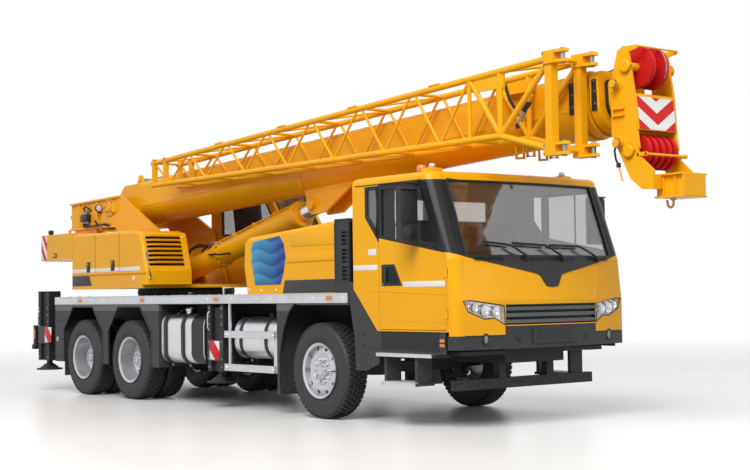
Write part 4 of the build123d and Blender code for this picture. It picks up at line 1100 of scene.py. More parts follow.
# X and height of the bands, and X of the jack behind them.
PLATES = {("mid", "right"): (-0.346, 0.705, -0.330), ("rear", "right"): (-4.952, 0.828, -5.110),
          ("mid", "left"): (-0.146, 0.705, -0.130), ("rear", "left"): (-4.907, 0.830, -4.910)}


def dress_beam(end, side, x, z, jack):
    made = Piece(f"beam_plate_{end}", side)
    made.block((jack - 0.170, BEAM_Y, z - 0.130), (jack + 0.170, BEAM_Y + 0.006, z + 0.130), CHARCOAL, 0.002)
    made.block((x - 0.110, BEAM_Y + 0.005, z - 0.114), (x + 0.110, BEAM_Y + 0.009, z + 0.114),
               BEAM_BANDS[side], 0.0015)
    corners = [(jack + a, BEAM_Y + 0.006, z + b) for a in (-0.150, 0.150) for b in (-0.105, 0.105)]
    made.bolts(corners, "y", 0.009, 0.008, PIN_STEEL)
    flange = [(jack + a, BEAM_Y, h) for a in (-0.140, 0.140) for h in (0.50, 1.02, 1.12, 1.22)]
    made.bolts(flange, "y", 0.011, 0.010, PIN_STEEL)
    pull = ((-0.002, 1.18), (0.024, 1.15), (0.024, 0.98), (-0.002, 0.95))
    made.tube([(jack - 0.140, BEAM_Y + out, h) for out, h in pull], 0.008, STAINLESS)
    made.put(f"beam_{end}_{side}", "charcoal")


for (end, side), place in PLATES.items():
    dress_beam(end, side, *place)

# %% [markdown]
# ## Rails and side panels
# The silver deck rail is a rolled section with a lip above and below, side markers and rivets. Under it
# the charcoal panels fold inwards along their top edge, which catches light, and each arch has a rubber
# lip.

# %% Rail lips, markers and arch lips
SKIRT_PAINT = satin("skirt_panel", (0.034, 0.036, 0.039), 0.46)
x, y, z = SKIRT_PAINT.axes()
outside = y.size() > 1.2
# Painted highlight: on the outside, the panels above 1.186 m are a lighter grey for the light their folded top
# edge catches.
second_coat(SKIRT_PAINT, (z > 1.186) * (x < 2.36) * outside, (0.115, 0.118, 0.122), 0.40)
sill = (x > 2.90) * (x < 3.82) * (z > 0.782) * (z < 0.990) * outside
second_coat(SKIRT_PAINT, sill, (0.012, 0.012, 0.013), 0.45)
wear("skirts", SKIRT_PAINT)

RAIL_Y, SKIRT_Y = 1.250, 1.2455
MARKERS = (-3.900, -2.115, -0.287, 2.012)
ARCH = ((-0.59, 0.452), (-0.59, 0.910), (-0.30, 1.240), (0.30, 1.240), (0.59, 0.910), (0.59, 0.452))
FRONT_ARCH = ((1.050, 0.42), (1.050, 0.70), (1.130, 0.98), (1.240, 1.18), (1.350, 1.268))


def dress_rail(side):
    rail = Piece("rail_trim", side)
    for z in (1.281, 1.378):
        rail.tube([(-4.700, RAIL_Y, z), (2.335, RAIL_Y, z)], 0.007, SILVER, 8)
    for x in MARKERS:
        rail.block((x - 0.056, RAIL_Y, 1.296), (x + 0.056, RAIL_Y + 0.005, 1.364), SILVER, 0.002)
        rail.block((x - 0.046, RAIL_Y, 1.303), (x + 0.046, RAIL_Y + 0.015, 1.357), AMBER_LENS, 0.006)
    spots = [x for x in spread(-4.60, 2.25, 26) if min(abs(x - m) for m in MARKERS) > 0.08]
    rail.bolts([(x, RAIL_Y, 1.330) for x in spots], "y", 0.007, 0.006, STAINLESS)
    rail.put("carrier", "silver")


def dress_skirt(side):
    panel = Piece("skirt_trim", side)
    for x in (-3.830, -2.480):
        panel.tube(at_side(SKIRT_Y, [(x + a, z) for a, z in ARCH]), 0.010, RUBBER, 8)
    panel.tube(at_side(SKIRT_Y, FRONT_ARCH), 0.010, RUBBER, 8)
    panel.tube(at_side(SKIRT_Y, ((-4.690, 1.186), (-4.20, 1.186))), 0.005, SKIRT_PAINT, 6)
    flap = [(x, SKIRT_Y, z) for x in (-4.62, -4.50) for z in (0.52, 0.78, 1.04)]
    panel.bolts(flap, "y", 0.009, 0.008, TRIM_BLACK)
    panel.block((-4.650, SKIRT_Y, 0.745), (-4.590, SKIRT_Y + 0.006, 0.805), CHROME, 0.004)
    panel.block((-4.646, SKIRT_Y + 0.004, 0.749), (-4.594, SKIRT_Y + 0.010, 0.801), AMBER_LENS, 0.004)
    for x, low, high in ((-1.660, 0.50, 1.22), (2.60, 0.62, 0.94)):
        panel.bolts([(x, SKIRT_Y, z) for z in spread(low, high, 4)], "y", 0.008, 0.006, TRIM_BLACK)
    panel.block((2.70, SKIRT_Y, 0.79), (3.86, SKIRT_Y + 0.005, 0.805), TRIM_BLACK, 0.002)
    panel.put("carrier", "charcoal")


for side in SIDES:
    dress_rail(side)
    dress_skirt(side)

# %% [markdown]
# ## Tanks
# The fuel tank hangs in two rubber-lined straps, with a filler neck on top and pressed ends; the
# stainless tank ahead of it has two more behind the guard rails. A strap follows the tank's rounded
# section, so it is one loop of points pushed outwards and joined to a second loop.


# %% Straps
def rounded_loop(centre, half, radius, corner=7):
    """Points round a rectangle with rounded corners, with the way out at each."""
    points = []
    for k, (a, b) in enumerate(((1, 1), (-1, 1), (-1, -1), (1, -1))):
        for j in range(corner):
            turn = (k + j / (corner - 1)) * pi / 2
            out = (cos(turn), sin(turn))
            points.append((centre[0] + a * (half[0] - radius) + radius * out[0],
                           centre[1] + b * (half[1] - radius) + radius * out[1], *out))
    return points


def strap(piece, x, width, loop, low, high, finish, place=lambda *point: point):
    """Band round a loop in Y and Z, from one height off its surface to another."""
    form = bmesh.new()
    section = [(x - width / 2, low), (x - width / 2, high), (x + width / 2, high), (x + width / 2, low)]
    rings = [[form.verts.new(place(at, y + n * lift, z + m * lift)) for y, z, n, m in loop]
             for at, lift in section]
    for ring_a, ring_b in zip(rings, rings[1:] + rings[:1]):
        for i in range(len(loop)):
            j = (i + 1) % len(loop)
            form.faces.new((ring_a[i], ring_a[j], ring_b[j], ring_b[i]))
    bmesh.ops.recalc_face_normals(form, faces=form.faces)
    piece.join(form, finish)


print("strap ready")

# %% Fuel and water tanks
TANK_SHINE = brushed("tank_shine", (0.70, 0.71, 0.73), 0.24, (14.0, 14.0, 0.8))
x, y, z = TANK_SHINE.axes()
second_coat(TANK_SHINE, (x > -0.93) * (x < -0.40), (0.045, 0.047, 0.050), 0.42)
wear("tanks", TANK_SHINE)

FUEL_LOOP = rounded_loop((-0.9325, 0.8295), (0.2825, 0.3125), 0.150)
WATER_LOOP = rounded_loop((-0.915, 0.865), (0.265, 0.249), 0.190)
FILLER = [(0.050, 0.0), (0.050, 0.040), (0.062, 0.044), (0.062, 0.072), (0.052, 0.080)]
FILLER_CHAIN = ((-1.335, -0.98, 1.20), (-1.40, -1.03, 1.205), (-1.43, -1.09, 1.16), (-1.44, -1.11, 1.132))
tanks = Piece("tank_fittings")
for x in (-1.560, -1.130):
    strap(tanks, x, 0.075, FUEL_LOOP, 0.001, 0.011, RUBBER)
    strap(tanks, x, 0.058, FUEL_LOOP, 0.008, 0.015, TRIM_BLACK)
    tanks.bolts([(x - 0.012, -1.10, 0.505)], "z", 0.012, -0.030, PIN_STEEL)
for x in (-1.664, -0.626):
    strap(tanks, x, 0.018, FUEL_LOOP, -0.002, 0.006, STAINLESS)
tanks.block((-0.6205, -1.205, 0.53), (-0.612, -0.66, 1.13), TRIM_BLACK, 0.004)
tanks.stud(FILLER, (-1.335, -0.98, 1.138), "z", STAINLESS, 32)
tanks.block((-1.400, -0.990, 1.214), (-1.270, -0.970, 1.226), STAINLESS, 0.004)
tanks.tube(FILLER_CHAIN, 0.004, PIN_STEEL, 6)
for x in (0.150, 0.680):
    strap(tanks, x, 0.050, WATER_LOOP, 0.001, 0.009, TRIM_BLACK)
    tanks.bolts([(x, -1.02, 0.604)], "z", 0.010, -0.026, PIN_STEEL)
for x in (0.026, 0.894, 0.215, 0.745):
    strap(tanks, x, 0.012, WATER_LOOP, -0.002, 0.004, STAINLESS)
tanks.stud([(r * 0.8, h * 0.6) for r, h in FILLER], (0.46, -0.92, 1.112), "z", TRIM_BLACK, 32)
tanks.put("carrier", "silver")

# %% Bottle, lockers and guard rails
BLUE_CAP = enamel("blue_cap", (0.025, 0.16, 0.55), (0.02, 0.12, 0.45), 0.35)
bottle = Piece("fluid_bottle")
bottle.stud([(0.030, 0), (0.030, 0.030)], (-0.582, -1.045, 1.008), "z", PLASTIC, 32)
bottle.stud([(0.046, 0), (0.048, 0.012), (0.046, 0.052), (0.036, 0.062), (0, 0.064)],
            (-0.582, -1.045, 1.032), "z", BLUE_CAP, 32)
for z in (0.66, 0.74, 0.82, 0.90):
    bottle.block((-0.548, -1.176, z), (-0.5405, -0.900, z + 0.018), PLASTIC, 0.003)
bottle.put("carrier", "dark_plastic")

lockers = Piece("locker_doors")
for low, high, foot in ((-1.66, -0.56, 0.56), (0.13, 0.90, 0.60)):
    lockers.block((low + 0.03, 1.215, foot + 0.03), (high - 0.03, 1.224, 1.11), CHARCOAL, 0.006)
    for x in (low + 0.16, high - 0.16):
        lockers.block((x - 0.035, 1.222, 0.83), (x + 0.035, 1.232, 0.90), TRIM_BLACK, 0.005)
        lockers.tube([(x - 0.02, 1.236, 0.845), (x - 0.02, 1.236, 0.885)], 0.006, STAINLESS, 8)
    for x in spread(low + 0.12, high - 0.12, 3):
        lockers.tube([(x - 0.04, 1.226, 1.118), (x + 0.04, 1.226, 1.118)], 0.009, TRIM_BLACK, 10)
lockers.put("carrier", "charcoal")

guard = Piece("guard_fittings")
for z in (0.906, 0.5095):
    guard.bolts([(x, -1.250, z) for x in (-0.075, -0.045, 0.915, 0.938)], "y", 0.010, -0.008, STAINLESS)
    for edge in (z - 0.035, z + 0.035):
        guard.tube([(-0.108, -1.2495, edge), (0.943, -1.2495, edge)], 0.005, SILVER, 6)
guard.put("carrier", "silver")

# %% [markdown]
# ## Engine cover
# The cover behind the cab is a moulding: a swage runs along it, a shallow panel stands above, a black
# strip closes the foot, and a printed blue panel covers the rear part. The print here is a plain run of
# waves in the same blues, which the point's height and length give without any picture.


# %% Blue waves, swages and the black strip
def wave_print(name):
    made = enamel(name, (0.010, 0.12, 0.34), (0.008, 0.10, 0.30), 0.26, 0.04)
    x, _, z = made.axes()
    swell = z * 7.0 + (x * 9.0).wave() * 0.40 + (x * 4.1 + 0.8).wave() * 0.35
    fade = made.ramp(x, 0.40, 1.15)
    blue = made.mix(fade, (0.012, 0.225, 0.47), (0.016, 0.040, 0.20))
    light = made.mix(fade, (0.055, 0.40, 0.60), (0.035, 0.11, 0.34))
    return made.set(Base_Color=made.mix(made.ramp(swell.part(), 0.15, 0.85), blue, light))


COVER_Y, INTAKE_Y = 1.1995, 1.2095
COVER_PRINT = wave_print("cover_waves")
PRINT_EDGE = [(0.500, 1.488), (0.428, 1.760), (0.425, 1.930), (0.470, 2.004), (1.010, 2.050),
              (1.092, 1.960), (1.128, 1.800), (1.085, 1.630), (1.020, 1.492)]
SWAGE = [(1.150, 1.738), (1.166, 1.828), (2.062, 1.836), (2.062, 1.746)]
RAISED = [(1.250, 1.920), (1.224, 1.950), (1.222, 2.030), (1.250, 2.060), (2.040, 2.112), (2.062, 2.098),
          (2.062, 1.918)]
FOOT_STRIP = [(1.066, 1.392), (1.112, 1.538), (2.066, 1.538), (2.066, 1.392)]
INTAKE_EDGE = [(2.080, 1.50), (2.080, 2.13), (2.120, 2.178), (2.290, 2.178), (2.318, 2.14), (2.318, 1.50)]


def dress_cover(side):
    made = Piece("cover_trim", side)
    for outline, thick, finish, soft in ((PRINT_EDGE, 0.0035, COVER_PRINT, 0.001), (SWAGE, 0.010, PAINT, 0.007),
                                         (RAISED, 0.006, PAINT, 0.005), (FOOT_STRIP, 0.005, CHARCOAL, 0.002)):
        made.plate(outline, "y", COVER_Y, COVER_Y + thick, finish, soft)
    made.bolts(at_side(COVER_Y, ((0.36, 1.44), (0.62, 1.43), (0.92, 1.43))), "y", 0.010, 0.008, STAINLESS)
    made.put("carrier", "paint")

    intake = Piece("intake_trim", side)
    intake.tube(at_side(INTAKE_Y, INTAKE_EDGE), 0.010, CHARCOAL, 8)
    for z in (1.52, 1.71, 1.90):
        for vane in (z + 0.030, z + 0.075, z + 0.120):
            intake.block((2.195, 1.182, vane - 0.008), (2.305, 1.206, vane + 0.008), PLASTIC, 0.004)
        intake.block((2.200, 1.181, z), (2.300, 1.183, z + 0.15), RUBBER, 0.001)
    intake.put("carrier", "dark_plastic")


for side in SIDES:
    dress_cover(side)

# %% [markdown]
# ## Machinery cover
# Three pressed doors close the machinery cover, with flush latches, a pale stripe and a ledge below. On
# the real cover the gaps between doors are dark slots a few millimetres wide; here each is a thin black
# strip just proud of the skin, which keeps its width from any side.

# %% Doors, stripe and ledge
HOOD_Y = -1.2005
HOOD_PATCH = [(-4.226, 1.538), (-4.226, 1.676), (-3.705, 1.676), (-3.634, 1.538)]


def hood_front(z):
    """How far the cover's leaning front goes back at one height."""
    return 0.288 * (z - 1.714)


hood = Piece("hood_trim")
for x in (-3.525, -2.825):
    hood.block((x - 0.004, HOOD_Y, 1.715), (x + 0.004, HOOD_Y - 0.0012, 2.250), TRIM_BLACK, 0.0)
for x0, x1 in ((-4.215, -3.530), (-3.520, -2.830), (-2.820, -2.250)):
    hood.block((x0, HOOD_Y, 1.724), (x1, HOOD_Y - 0.003, 1.778), WHITE, 0.001)
hood.block((-4.228, HOOD_Y + 0.002, 1.688), (-2.098, HOOD_Y - 0.014, 1.706), PAINT, 0.006)
for x, z in ((-3.725, 1.800), (-3.005, 1.808)):
    hood.block((x - 0.050, HOOD_Y, z - 0.072), (x + 0.050, HOOD_Y - 0.010, z + 0.072), TRIM_BLACK, 0.008)
    hood.block((x - 0.026, HOOD_Y - 0.008, z - 0.045), (x + 0.026, HOOD_Y - 0.015, z + 0.030), PLASTIC, 0.005)
    hood.stud([(0.010, 0), (0.010, -0.004), (0, -0.005)], (x, HOOD_Y - 0.0145, z + 0.042), "y", STAINLESS, 16)
hood.plate(HOOD_PATCH, "y", HOOD_Y, HOOD_Y - 0.004, CHARCOAL, 0.002)
hood.stud([(0.034, 0), (0.032, -0.006), (0, -0.008)], (-2.425, HOOD_Y, 1.620), "y", WHITE)
grab = ((-2.170, 1.945), (-2.155, 1.965), (-2.062, 1.640), (-2.086, 1.612))
hood.tube(at_side(-1.150, grab), 0.011, STAINLESS)
for z in (LOUVRE_FOOT + 0.055 + LOUVRE_STEP * k for k in range(7)):
    x = -hood_front(z - 0.050)
    hood.block((x - 2.088, -1.08, z), (x - 2.074, -0.62, z + 0.008), PAINT, 0.002)
edges = [(-2.090 - hood_front(z), y, z) for y in (-1.14, -0.56) for z in (1.76, 1.98, 2.18)]
hood.bolts(edges, "x", 0.010, 0.010, STAINLESS)
for x in (-4.05, -3.30, -2.60):
    hood.block((x - 0.055, -1.175, 2.262), (x + 0.055, -1.145, 2.292), PAINT, 0.010)
hood.tube(at_side(-0.60, ((-4.10, 2.270), (-4.10, 2.330), (-2.55, 2.330), (-2.55, 2.262))), 0.014, PAINT)
hood.put("superstructure", "paint")

# %% [markdown]
# ## Counterweight and slew ring
# The counterweight is one casting with lifting lugs, a lamp and banded corners. Under the turntable a
# ring of bolts holds the slew bearing.

# %% Lugs, bands and ring bolts
CORNER_BANDS = banded("corner_bands", lambda x, y, z: (z - y.size() * 1.3) / 0.20)
SIDE_BANDS = banded("side_bands", lambda x, y, z: (z + x * 1.5) / 0.26)
TAIL_LAMP = Vector((-5.605, 0.80, 2.12))
SLEW_X = -3.06

weight = Piece("weight_fittings")
weight.skin([[(-5.405, 1.1045, z), (-5.545, 1.014, z)] for z in (1.965, 2.280)], (-0.003, 0.005, 0),
            CORNER_BANDS)
weight.block((-5.245, 1.1995, 1.945), (-5.060, 1.2035, 2.295), SIDE_BANDS, 0.001)
weight.stud([(0.030, 0), (0.030, 0.020), (0.040, 0.024), (0.040, 0.066), (0.028, 0.080), (0, 0.082)],
            (-5.13, 1.10, 2.308), "z", TRIM_BLACK)
weight.tube(at_side(0.98, ((-4.75, 2.306), (-4.75, 2.365), (-4.65, 2.365), (-4.65, 2.306))), 0.018, PAINT)
weight.block((-4.86, 1.199, 1.97), (-4.74, 1.210, 2.03), TRIM_BLACK, 0.006)
weight.block((-4.85, 1.206, 1.98), (-4.75, 1.216, 2.02), AMBER_LENS, 0.005)
weight.stud([(0.045, 0), (0.045, -0.020), (0.030, -0.026)], TAIL_LAMP, "x", RED_LENS, 32)
weight.stud([(0.062, 0), (0.062, -0.006)], TAIL_LAMP + Vector((0.0045, 0, 0)), "x", TRIM_BLACK, 32)
weight.mirror()
weight.block((-5.642, -0.30, 2.02), (-5.650, 0.30, 2.22), CHARCOAL, 0.003)
weight.bolts([(-5.649, y, z) for y in (-0.27, 0.27) for z in (2.05, 2.19)], "x", 0.009, -0.008, STAINLESS)
weight.put("superstructure", "paint")

slew = Piece("slew_bolts")
slew.bolts(ring(44, 0.655, (SLEW_X, 0, 1.5335), "z"), "z", 0.012, 0.014, PIN_STEEL)
slew.put("superstructure", "cast")
base = Piece("slew_seal")
base.lathe([(0.684, 1.300), (0.694, 1.300), (0.698, 1.312), (0.694, 1.324), (0.684, 1.324)],
           (SLEW_X, 0, 0), "z", RUBBER, 96)
base.lathe([(0.684, 1.420), (0.692, 1.420), (0.692, 1.448), (0.684, 1.448)], (SLEW_X, 0, 0), "z", CAST, 96)
base.put("carrier", "cast")

# %% [markdown]
# ## Boom
# The boom tapers by nesting: four welded sections, each with a collar at its mouth that holds wear pads.
# All fittings on it are placed by distance along the boom, side and height over its axis, so the boom's
# slope is written down once.

# %% Places on the boom
TILT = radians(2.9)
FOOT_X, FOOT_Z = -4.45, 2.72


def on_boom(along, y, height):
    """Point from the distance along the boom, the side and the height over its axis."""
    return Vector((FOOT_X + along * cos(TILT) - height * sin(TILT), y,
                   FOOT_Z + along * sin(TILT) + height * cos(TILT)))


def level_with_boom(along, y, height):
    """Place on the boom, turned to its slope."""
    return Matrix.Translation(on_boom(along, y, height)) @ Matrix.Rotation(-TILT, 4, "Y")


def boom_loop(width, height):
    """Section of the boom: flat top, rounded corners, round belly, with the way out at each point."""
    w, h = width / 2, height / 2
    r, big = 0.12 * width, 1.0114 * width / 2
    points = [(w - r + r * sin(t), h - r + r * cos(t), sin(t), cos(t)) for t in spread(0, pi / 2, 5)]
    rise = 0.86 * w - big
    start = asin(rise / big)
    points += [(big * cos(t), big - h + big * sin(t), cos(t), sin(t)) for t in spread(start, -pi - start, 19)]
    points += [(-w + r - r * cos(t), h - r + r * sin(t), -cos(t), sin(t)) for t in spread(0, pi / 2, 5)]
    return points


def boom_band(piece, along, width, size, low, high, finish):
    """Strap round a boom section of this width and height."""
    strap(piece, along, width, boom_loop(*size), low, high, finish, on_boom)


print("boom foot at", on_boom(0, 0, 0))

# %% Collars, pads and weld seams
# Section, body, distance along the boom, width and height of the collar.
MOUTHS = (("base", "boom_base", 9.255, 0.630, 0.650), ("second", "boom_2", 9.388, 0.610, 0.630),
          ("third", "boom_3", 9.522, 0.570, 0.590))
PADS = (("second", "boom_2", 9.3225, (0.560, 0.580)), ("third", "boom_3", 9.4525, (0.520, 0.540)),
        ("fourth", "boom_4", 9.600, (0.400, 0.420)))
# Share of its shift along the boom, and height, of each point of a collar's hose.
HOSE_BENDS = ((1.0, -0.080), (0.4, -0.02), (1.2, 0.06), (0.5, 0.14), (1.0, 0.21))

for name, body, along, wide, tall in MOUTHS:
    mouth = Piece(f"boom_mouth_{name}")
    studs = [on_boom(along + 0.012, wide / 2, height) for height in (-0.02, 0.10, 0.20)]
    mouth.bolts(studs, "y", 0.009, 0.014, PIN_STEEL)
    mouth.block((-0.034, -0.006, -0.160), (0.034, 0.006, 0.150), TRIM_BLACK, 0.004,
                Matrix.Translation(on_boom(along, wide / 2 + 0.001, 0.07)))
    for shift in (-0.018, 0.000, 0.018):
        mouth.tube([on_boom(along + shift * bend, wide / 2 + 0.006, height) for bend, height in HOSE_BENDS],
                   0.006, HOSE, 8)
    mouth.mirror()
    for shift in (-0.044, 0.044):
        boom_band(mouth, along + shift, 0.012, (wide, tall), -0.002, 0.006, PAINT)
    for y in (-0.18, 0.0, 0.18):
        mouth.block((-0.040, -0.030, -0.004), (0.040, 0.030, 0.012), PAINT, 0.005,
                    level_with_boom(along, y, tall / 2))
    mouth.put(body, "paint")
for name, body, along, size in PADS:
    pads = Piece(f"boom_pads_{name}")
    boom_band(pads, along, 0.022, size, -0.022, 0.004, TRIM_BLACK)
    pads.put(body, "dark_plastic")

seams = Piece("boom_seams")
for low, high in ((0.64, 4.60), (4.62, 9.195)):
    seams.tube([on_boom(low, 0.300, -0.052), on_boom(high, 0.300, -0.052)], 0.005, PAINT, 6)
for along in (4.61, 8.05):
    seams.block((-0.006, -0.0035, -0.27), (0.006, 0.0035, 0.27), PAINT, 0.002,
                level_with_boom(along, 0.300, 0.01))
for low, high in ((8.30, 8.41), (8.46, 8.56)):
    lug = ((low, -0.26), (low, -0.385), (high, -0.395), (high, -0.26))
    seams.tube([on_boom(along, 0.17, height) for along, height in lug], 0.012, PAINT)
seams.mirror()
for along in (4.61, 8.05):
    boom_band(seams, along, 0.05, (0.600, 0.620), -0.002, 0.005, PAINT)
seams.put("boom_base", "paint")

# %% [markdown]
# ## Hoist rope
# The rope leaves the drum, passes a roller on the boom's tail and runs above the boom to the upper
# sheaves. It is taut, so every stretch is straight, and each boom section carries its own length: they
# lie in one line and go on covering it when the sections slide out.


# %% Rope
def wire(name):
    made = Finish(name, (0.20, 0.20, 0.20), 0.42, 0.8)
    x, y, z = made.axes()
    lay = ((x + y * 1.4 + z * 1.4) * 420.0).wave()
    made.set(Base_Color=made.mix(0.5 + 0.5 * lay, (0.13, 0.13, 0.13), (0.31, 0.31, 0.30)),
             Roughness=0.38 + 0.1 * lay)
    return made.bump(lay, 0.5, 0.002)


ROPE = wire("wire_rope")
ROPE_Y, ROPE_LOW = 0.060, 0.345
ROLLER_AT, ROLLER_H = 0.42, 0.346
ROPE_START = on_boom(ROLLER_AT, ROPE_Y, 0.402)
TOP_SHEAVE = Vector((5.48, 0, 3.49))
SHEAVE_REACH = 0.189
# Section, body, start and end along the boom, and radius; the inner runs are a little thinner.
ROPES = (("base", "boom_base", 1.60, 9.30, 0.0100), ("second", "boom_2", 1.66, 9.43, 0.0096),
         ("third", "boom_3", 1.76, 9.57, 0.0092), ("fourth", "boom_4", 1.88, 9.45, 0.0088))

for name, body, low, high, radius in ROPES:
    rope = Piece(f"hoist_rope_{name}")
    line = [on_boom(low, ROPE_Y, ROPE_LOW), on_boom(high, ROPE_Y, ROPE_LOW)]
    if name == "base":
        line.insert(0, ROPE_START)
    if name == "fourth":
        line.append(Vector((5.4138, ROPE_Y, 3.6670)))
        turn = [TOP_SHEAVE + Vector((SHEAVE_REACH * cos(t), ROPE_Y, SHEAVE_REACH * sin(t)))
                for t in spread(1.93, -0.6, 22)]
        rope.tube(turn, radius, ROPE, 8)
    rope.tube(line, radius, ROPE, 8)
    rope.put(body, "rod")

# %% Roller and windings
ROLLER = [(0.012, -0.158), (0.052, -0.158), (0.058, -0.146), (0.046, -0.130), (0.046, 0.130),
          (0.058, 0.146), (0.052, 0.158), (0.012, 0.158)]
TURN_OF_ROPE = [(0.150, -0.011), (0.163, -0.0105), (0.172, -0.005), (0.174, 0.0), (0.172, 0.005),
                (0.163, 0.0105), (0.150, 0.011)]
DRUM_X, DRUM_Z = -5.20, 2.60

roller = Piece("tail_roller")
roller.plate([(-0.11, 0.0), (-0.05, 0.13), (0.05, 0.13), (0.11, 0.0)], "y", 0.16, 0.18, PAINT, 0.003,
             level_with_boom(ROLLER_AT, 0, 0.305))
roller.mirror()
roller.lathe(ROLLER, on_boom(ROLLER_AT, 0, ROLLER_H), "y", PIN_STEEL, 36)
roller.tube([on_boom(ROLLER_AT, y, ROLLER_H) for y in (-0.19, 0.19)], 0.013, PIN_STEEL, 12)
roller.put("boom_base", "paint")

winding = Piece("drum_winding")
winding.bolts(ring(10, 0.175, (DRUM_X, 0.340, DRUM_Z), "y"), "y", 0.010, 0.010, PIN_STEEL)
winding.mirror()
for k in range(26):
    winding.lathe(TURN_OF_ROPE, (DRUM_X, -0.300 + 0.0232 * k, DRUM_Z), "y", ROPE, 40)
winding.stud([(0.120, 0.0), (0.120, 0.050), (0.095, 0.068)], (DRUM_X, 0.345, DRUM_Z), "y", TRIM_BLACK, 36)
winding.put("superstructure", "rod")

# %% [markdown]
# ## Boom head
# The head's front plate wears red and white chevrons, which are bands in height with a step for the
# distance from the middle. Round it come the pins' keeper plates, the rope guard, the beam at the foot
# and a small hook.

# %% Chevrons and keepers
HEAD_BANDS = banded("head_chevrons", lambda x, y, z: (z - y.size() * 0.62 - 2.989) / 0.226)
HEAD_Y = 0.300
GUARD = [(5.44, 3.600), (5.44, 3.680), (5.61, 3.682), (5.622, 3.656), (5.60, 3.640), (5.505, 3.625)]
CHEEK = [(5.552, 2.90), (5.600, 2.70), (5.612, 2.70), (5.584, 2.90)]
LOWER_GUARD = [(5.585, 2.66), (5.585, 2.62), (5.70, 2.622), (5.708, 2.640), (5.70, 2.658)]

head = Piece("head_fittings")
for x, z in ((5.48, 3.49), (5.50, 2.68)):
    head.stud([(0.062, 0), (0.062, 0.014), (0.050, 0.024)], (x, HEAD_Y + 0.018, z), "y", PAINT, 32)
    head.block((x - 0.075, HEAD_Y, z - 0.020), (x + 0.075, HEAD_Y + 0.008, z + 0.020), PAINT, 0.003)
    head.bolts([(x + a, HEAD_Y + 0.008, z) for a in (-0.066, 0.066)], "y", 0.009, 0.009, PIN_STEEL)
for x, z in ((5.370, 3.330), (5.400, 2.760)):
    head.lathe([(0.037, 0.060), (0.046, 0.060), (0.046, 0.082), (0.037, 0.082)], (x, HEAD_Y, z), "y",
               PIN_STEEL, 28)
    head.lathe([(0.036, 0), (0.070, 0), (0.062, 0.012), (0.036, 0.012)], (x, HEAD_Y, z), "y", PAINT, 32)
for low, high in ((3.020, 3.040), (3.085, 3.105)):
    head.block((5.310, HEAD_Y, low), (5.450, HEAD_Y + 0.030, high), PAINT, 0.005)
head.block((5.310, HEAD_Y, 3.020), (5.325, HEAD_Y + 0.028, 3.105), PAINT, 0.004)
for outline, inner, outer, soft in ((GUARD, 0.284, 0.299, 0.003), (CHEEK, 0.268, 0.298, 0.002),
                                    (LOWER_GUARD, 0.280, 0.300, 0.003)):
    head.plate(outline, "y", inner, outer, PAINT, soft)
head.mirror()
head.skin([[(5.5715 + 0.08125 * (3.196 - z), y, z) for y in spread(-0.262, 0.262, 5)]
           for z in spread(2.886, 3.196, 4)], (0.004, 0, 0.0005), HEAD_BANDS)
head.tube([(5.602, -0.296, 3.668), (5.602, 0.296, 3.668)], 0.0095, PAINT)
head.tube([(5.690, -0.300, 2.640), (5.690, 0.300, 2.640)], 0.012, PAINT)

# %% Foot beam, hook and hose of the head
for low, high in ((2.224, 2.240), (2.433, 2.449)):
    head.block((5.692, -0.190, low), (6.012, 0.190, high), PAINT, 0.003)
for x in (5.78, 5.915):
    head.block((x, -0.172, 2.238), (x + 0.012, 0.172, 2.435), PAINT, 0.002)
head.block((6.000, -0.165, 2.240), (6.012, 0.165, 2.433), PAINT, 0.002)
hook = [(5.762, 2.228), (5.762, 2.190)]
hook += [(5.727 + 0.035 * cos(t), 2.178 + 0.035 * sin(t)) for t in spread(0.0, -pi, 12)]
hook += [(5.690, 2.200), (5.684, 2.212)]
head.tube(at_side(0, hook), 0.0115, PAINT, 12)
head.stud([(0.030, 0), (0.030, -0.014), (0.016, -0.020)], (5.762, 0, 2.226), "z", PIN_STEEL)
drop = ((5.330, 2.790), (5.300, 2.700), (5.312, 2.620), (5.345, 2.560))
head.tube(at_side(-0.285, drop), 0.010, HOSE, 8)
head.tube(at_side(-0.285, ((5.345, 2.560), (5.392, 2.405))), 0.008, PAINT, 8)
head.stud([(0.022, -0.022), (0.022, 0.022)], (5.345, -0.285, 2.560), "z", TRIM_BLACK, 16)
head.put("boom_4", "paint")

# %% [markdown]
# ## Jib and lift cylinder fittings
# The stowed jib hangs on the boom by pinned brackets and keeps a strut with a black damper. The lift
# cylinder has a bolted gland, a port block and hoses that come up from the turntable.

# %% Jib pins and damper
JIB_SLOPE = 0.0516
STRUT = [(4.330, -0.400, 3.350), (4.275, -0.400, 3.285), (4.205, -0.390, 3.200), (4.120, -0.375, 3.095)]

jib = Piece("jib_fittings")
for y, out in ((-0.770, -1), (-0.365, 1)):
    for z in (3.600, 2.720):
        jib.stud([(0.026, -0.075), (0.026, 0.075)], (5.105, y, z), "z", PIN_STEEL, 20)
        jib.bolts([(4.90, y + out * 0.062, z + b) for b in (-0.04, 0.04)], "y", 0.010, out * 0.010, PIN_STEEL)
    for x in (-2.585, -2.285):
        jib.stud([(0.048, -0.006), (0.048, 0.006)], (x, y, 3.252), "z", PAINT)
for start, end, radius, finish, sides in zip(STRUT, STRUT[1:], (0.018, 0.034, 0.020),
                                             (PAINT, TRIM_BLACK, PIN_STEEL), (12, 20, 14)):
    jib.tube([start, end], radius, finish, sides)
jib.tube([(3.930, -0.385, 3.500), (3.985, -0.380, 3.340), (4.060, -0.372, 3.235), (4.110, -0.365, 3.110)],
         0.016, HOSE, 10)
jib.block((4.050, -0.372, 3.020), (4.180, -0.318, 3.100), PAINT, 0.008)
jib.block((4.060, -0.380, 3.032), (4.120, -0.364, 3.088), TRIM_BLACK, 0.004)
for x in (-1.0, 0.4, 1.8, 3.2):
    z = 3.240 + JIB_SLOPE * (x + 2.65)
    jib.tube([(x, -0.790, z), (x + 0.16, -0.790, z + 0.008)], 0.012, PAINT, 8)
jib.put("boom_base", "paint")

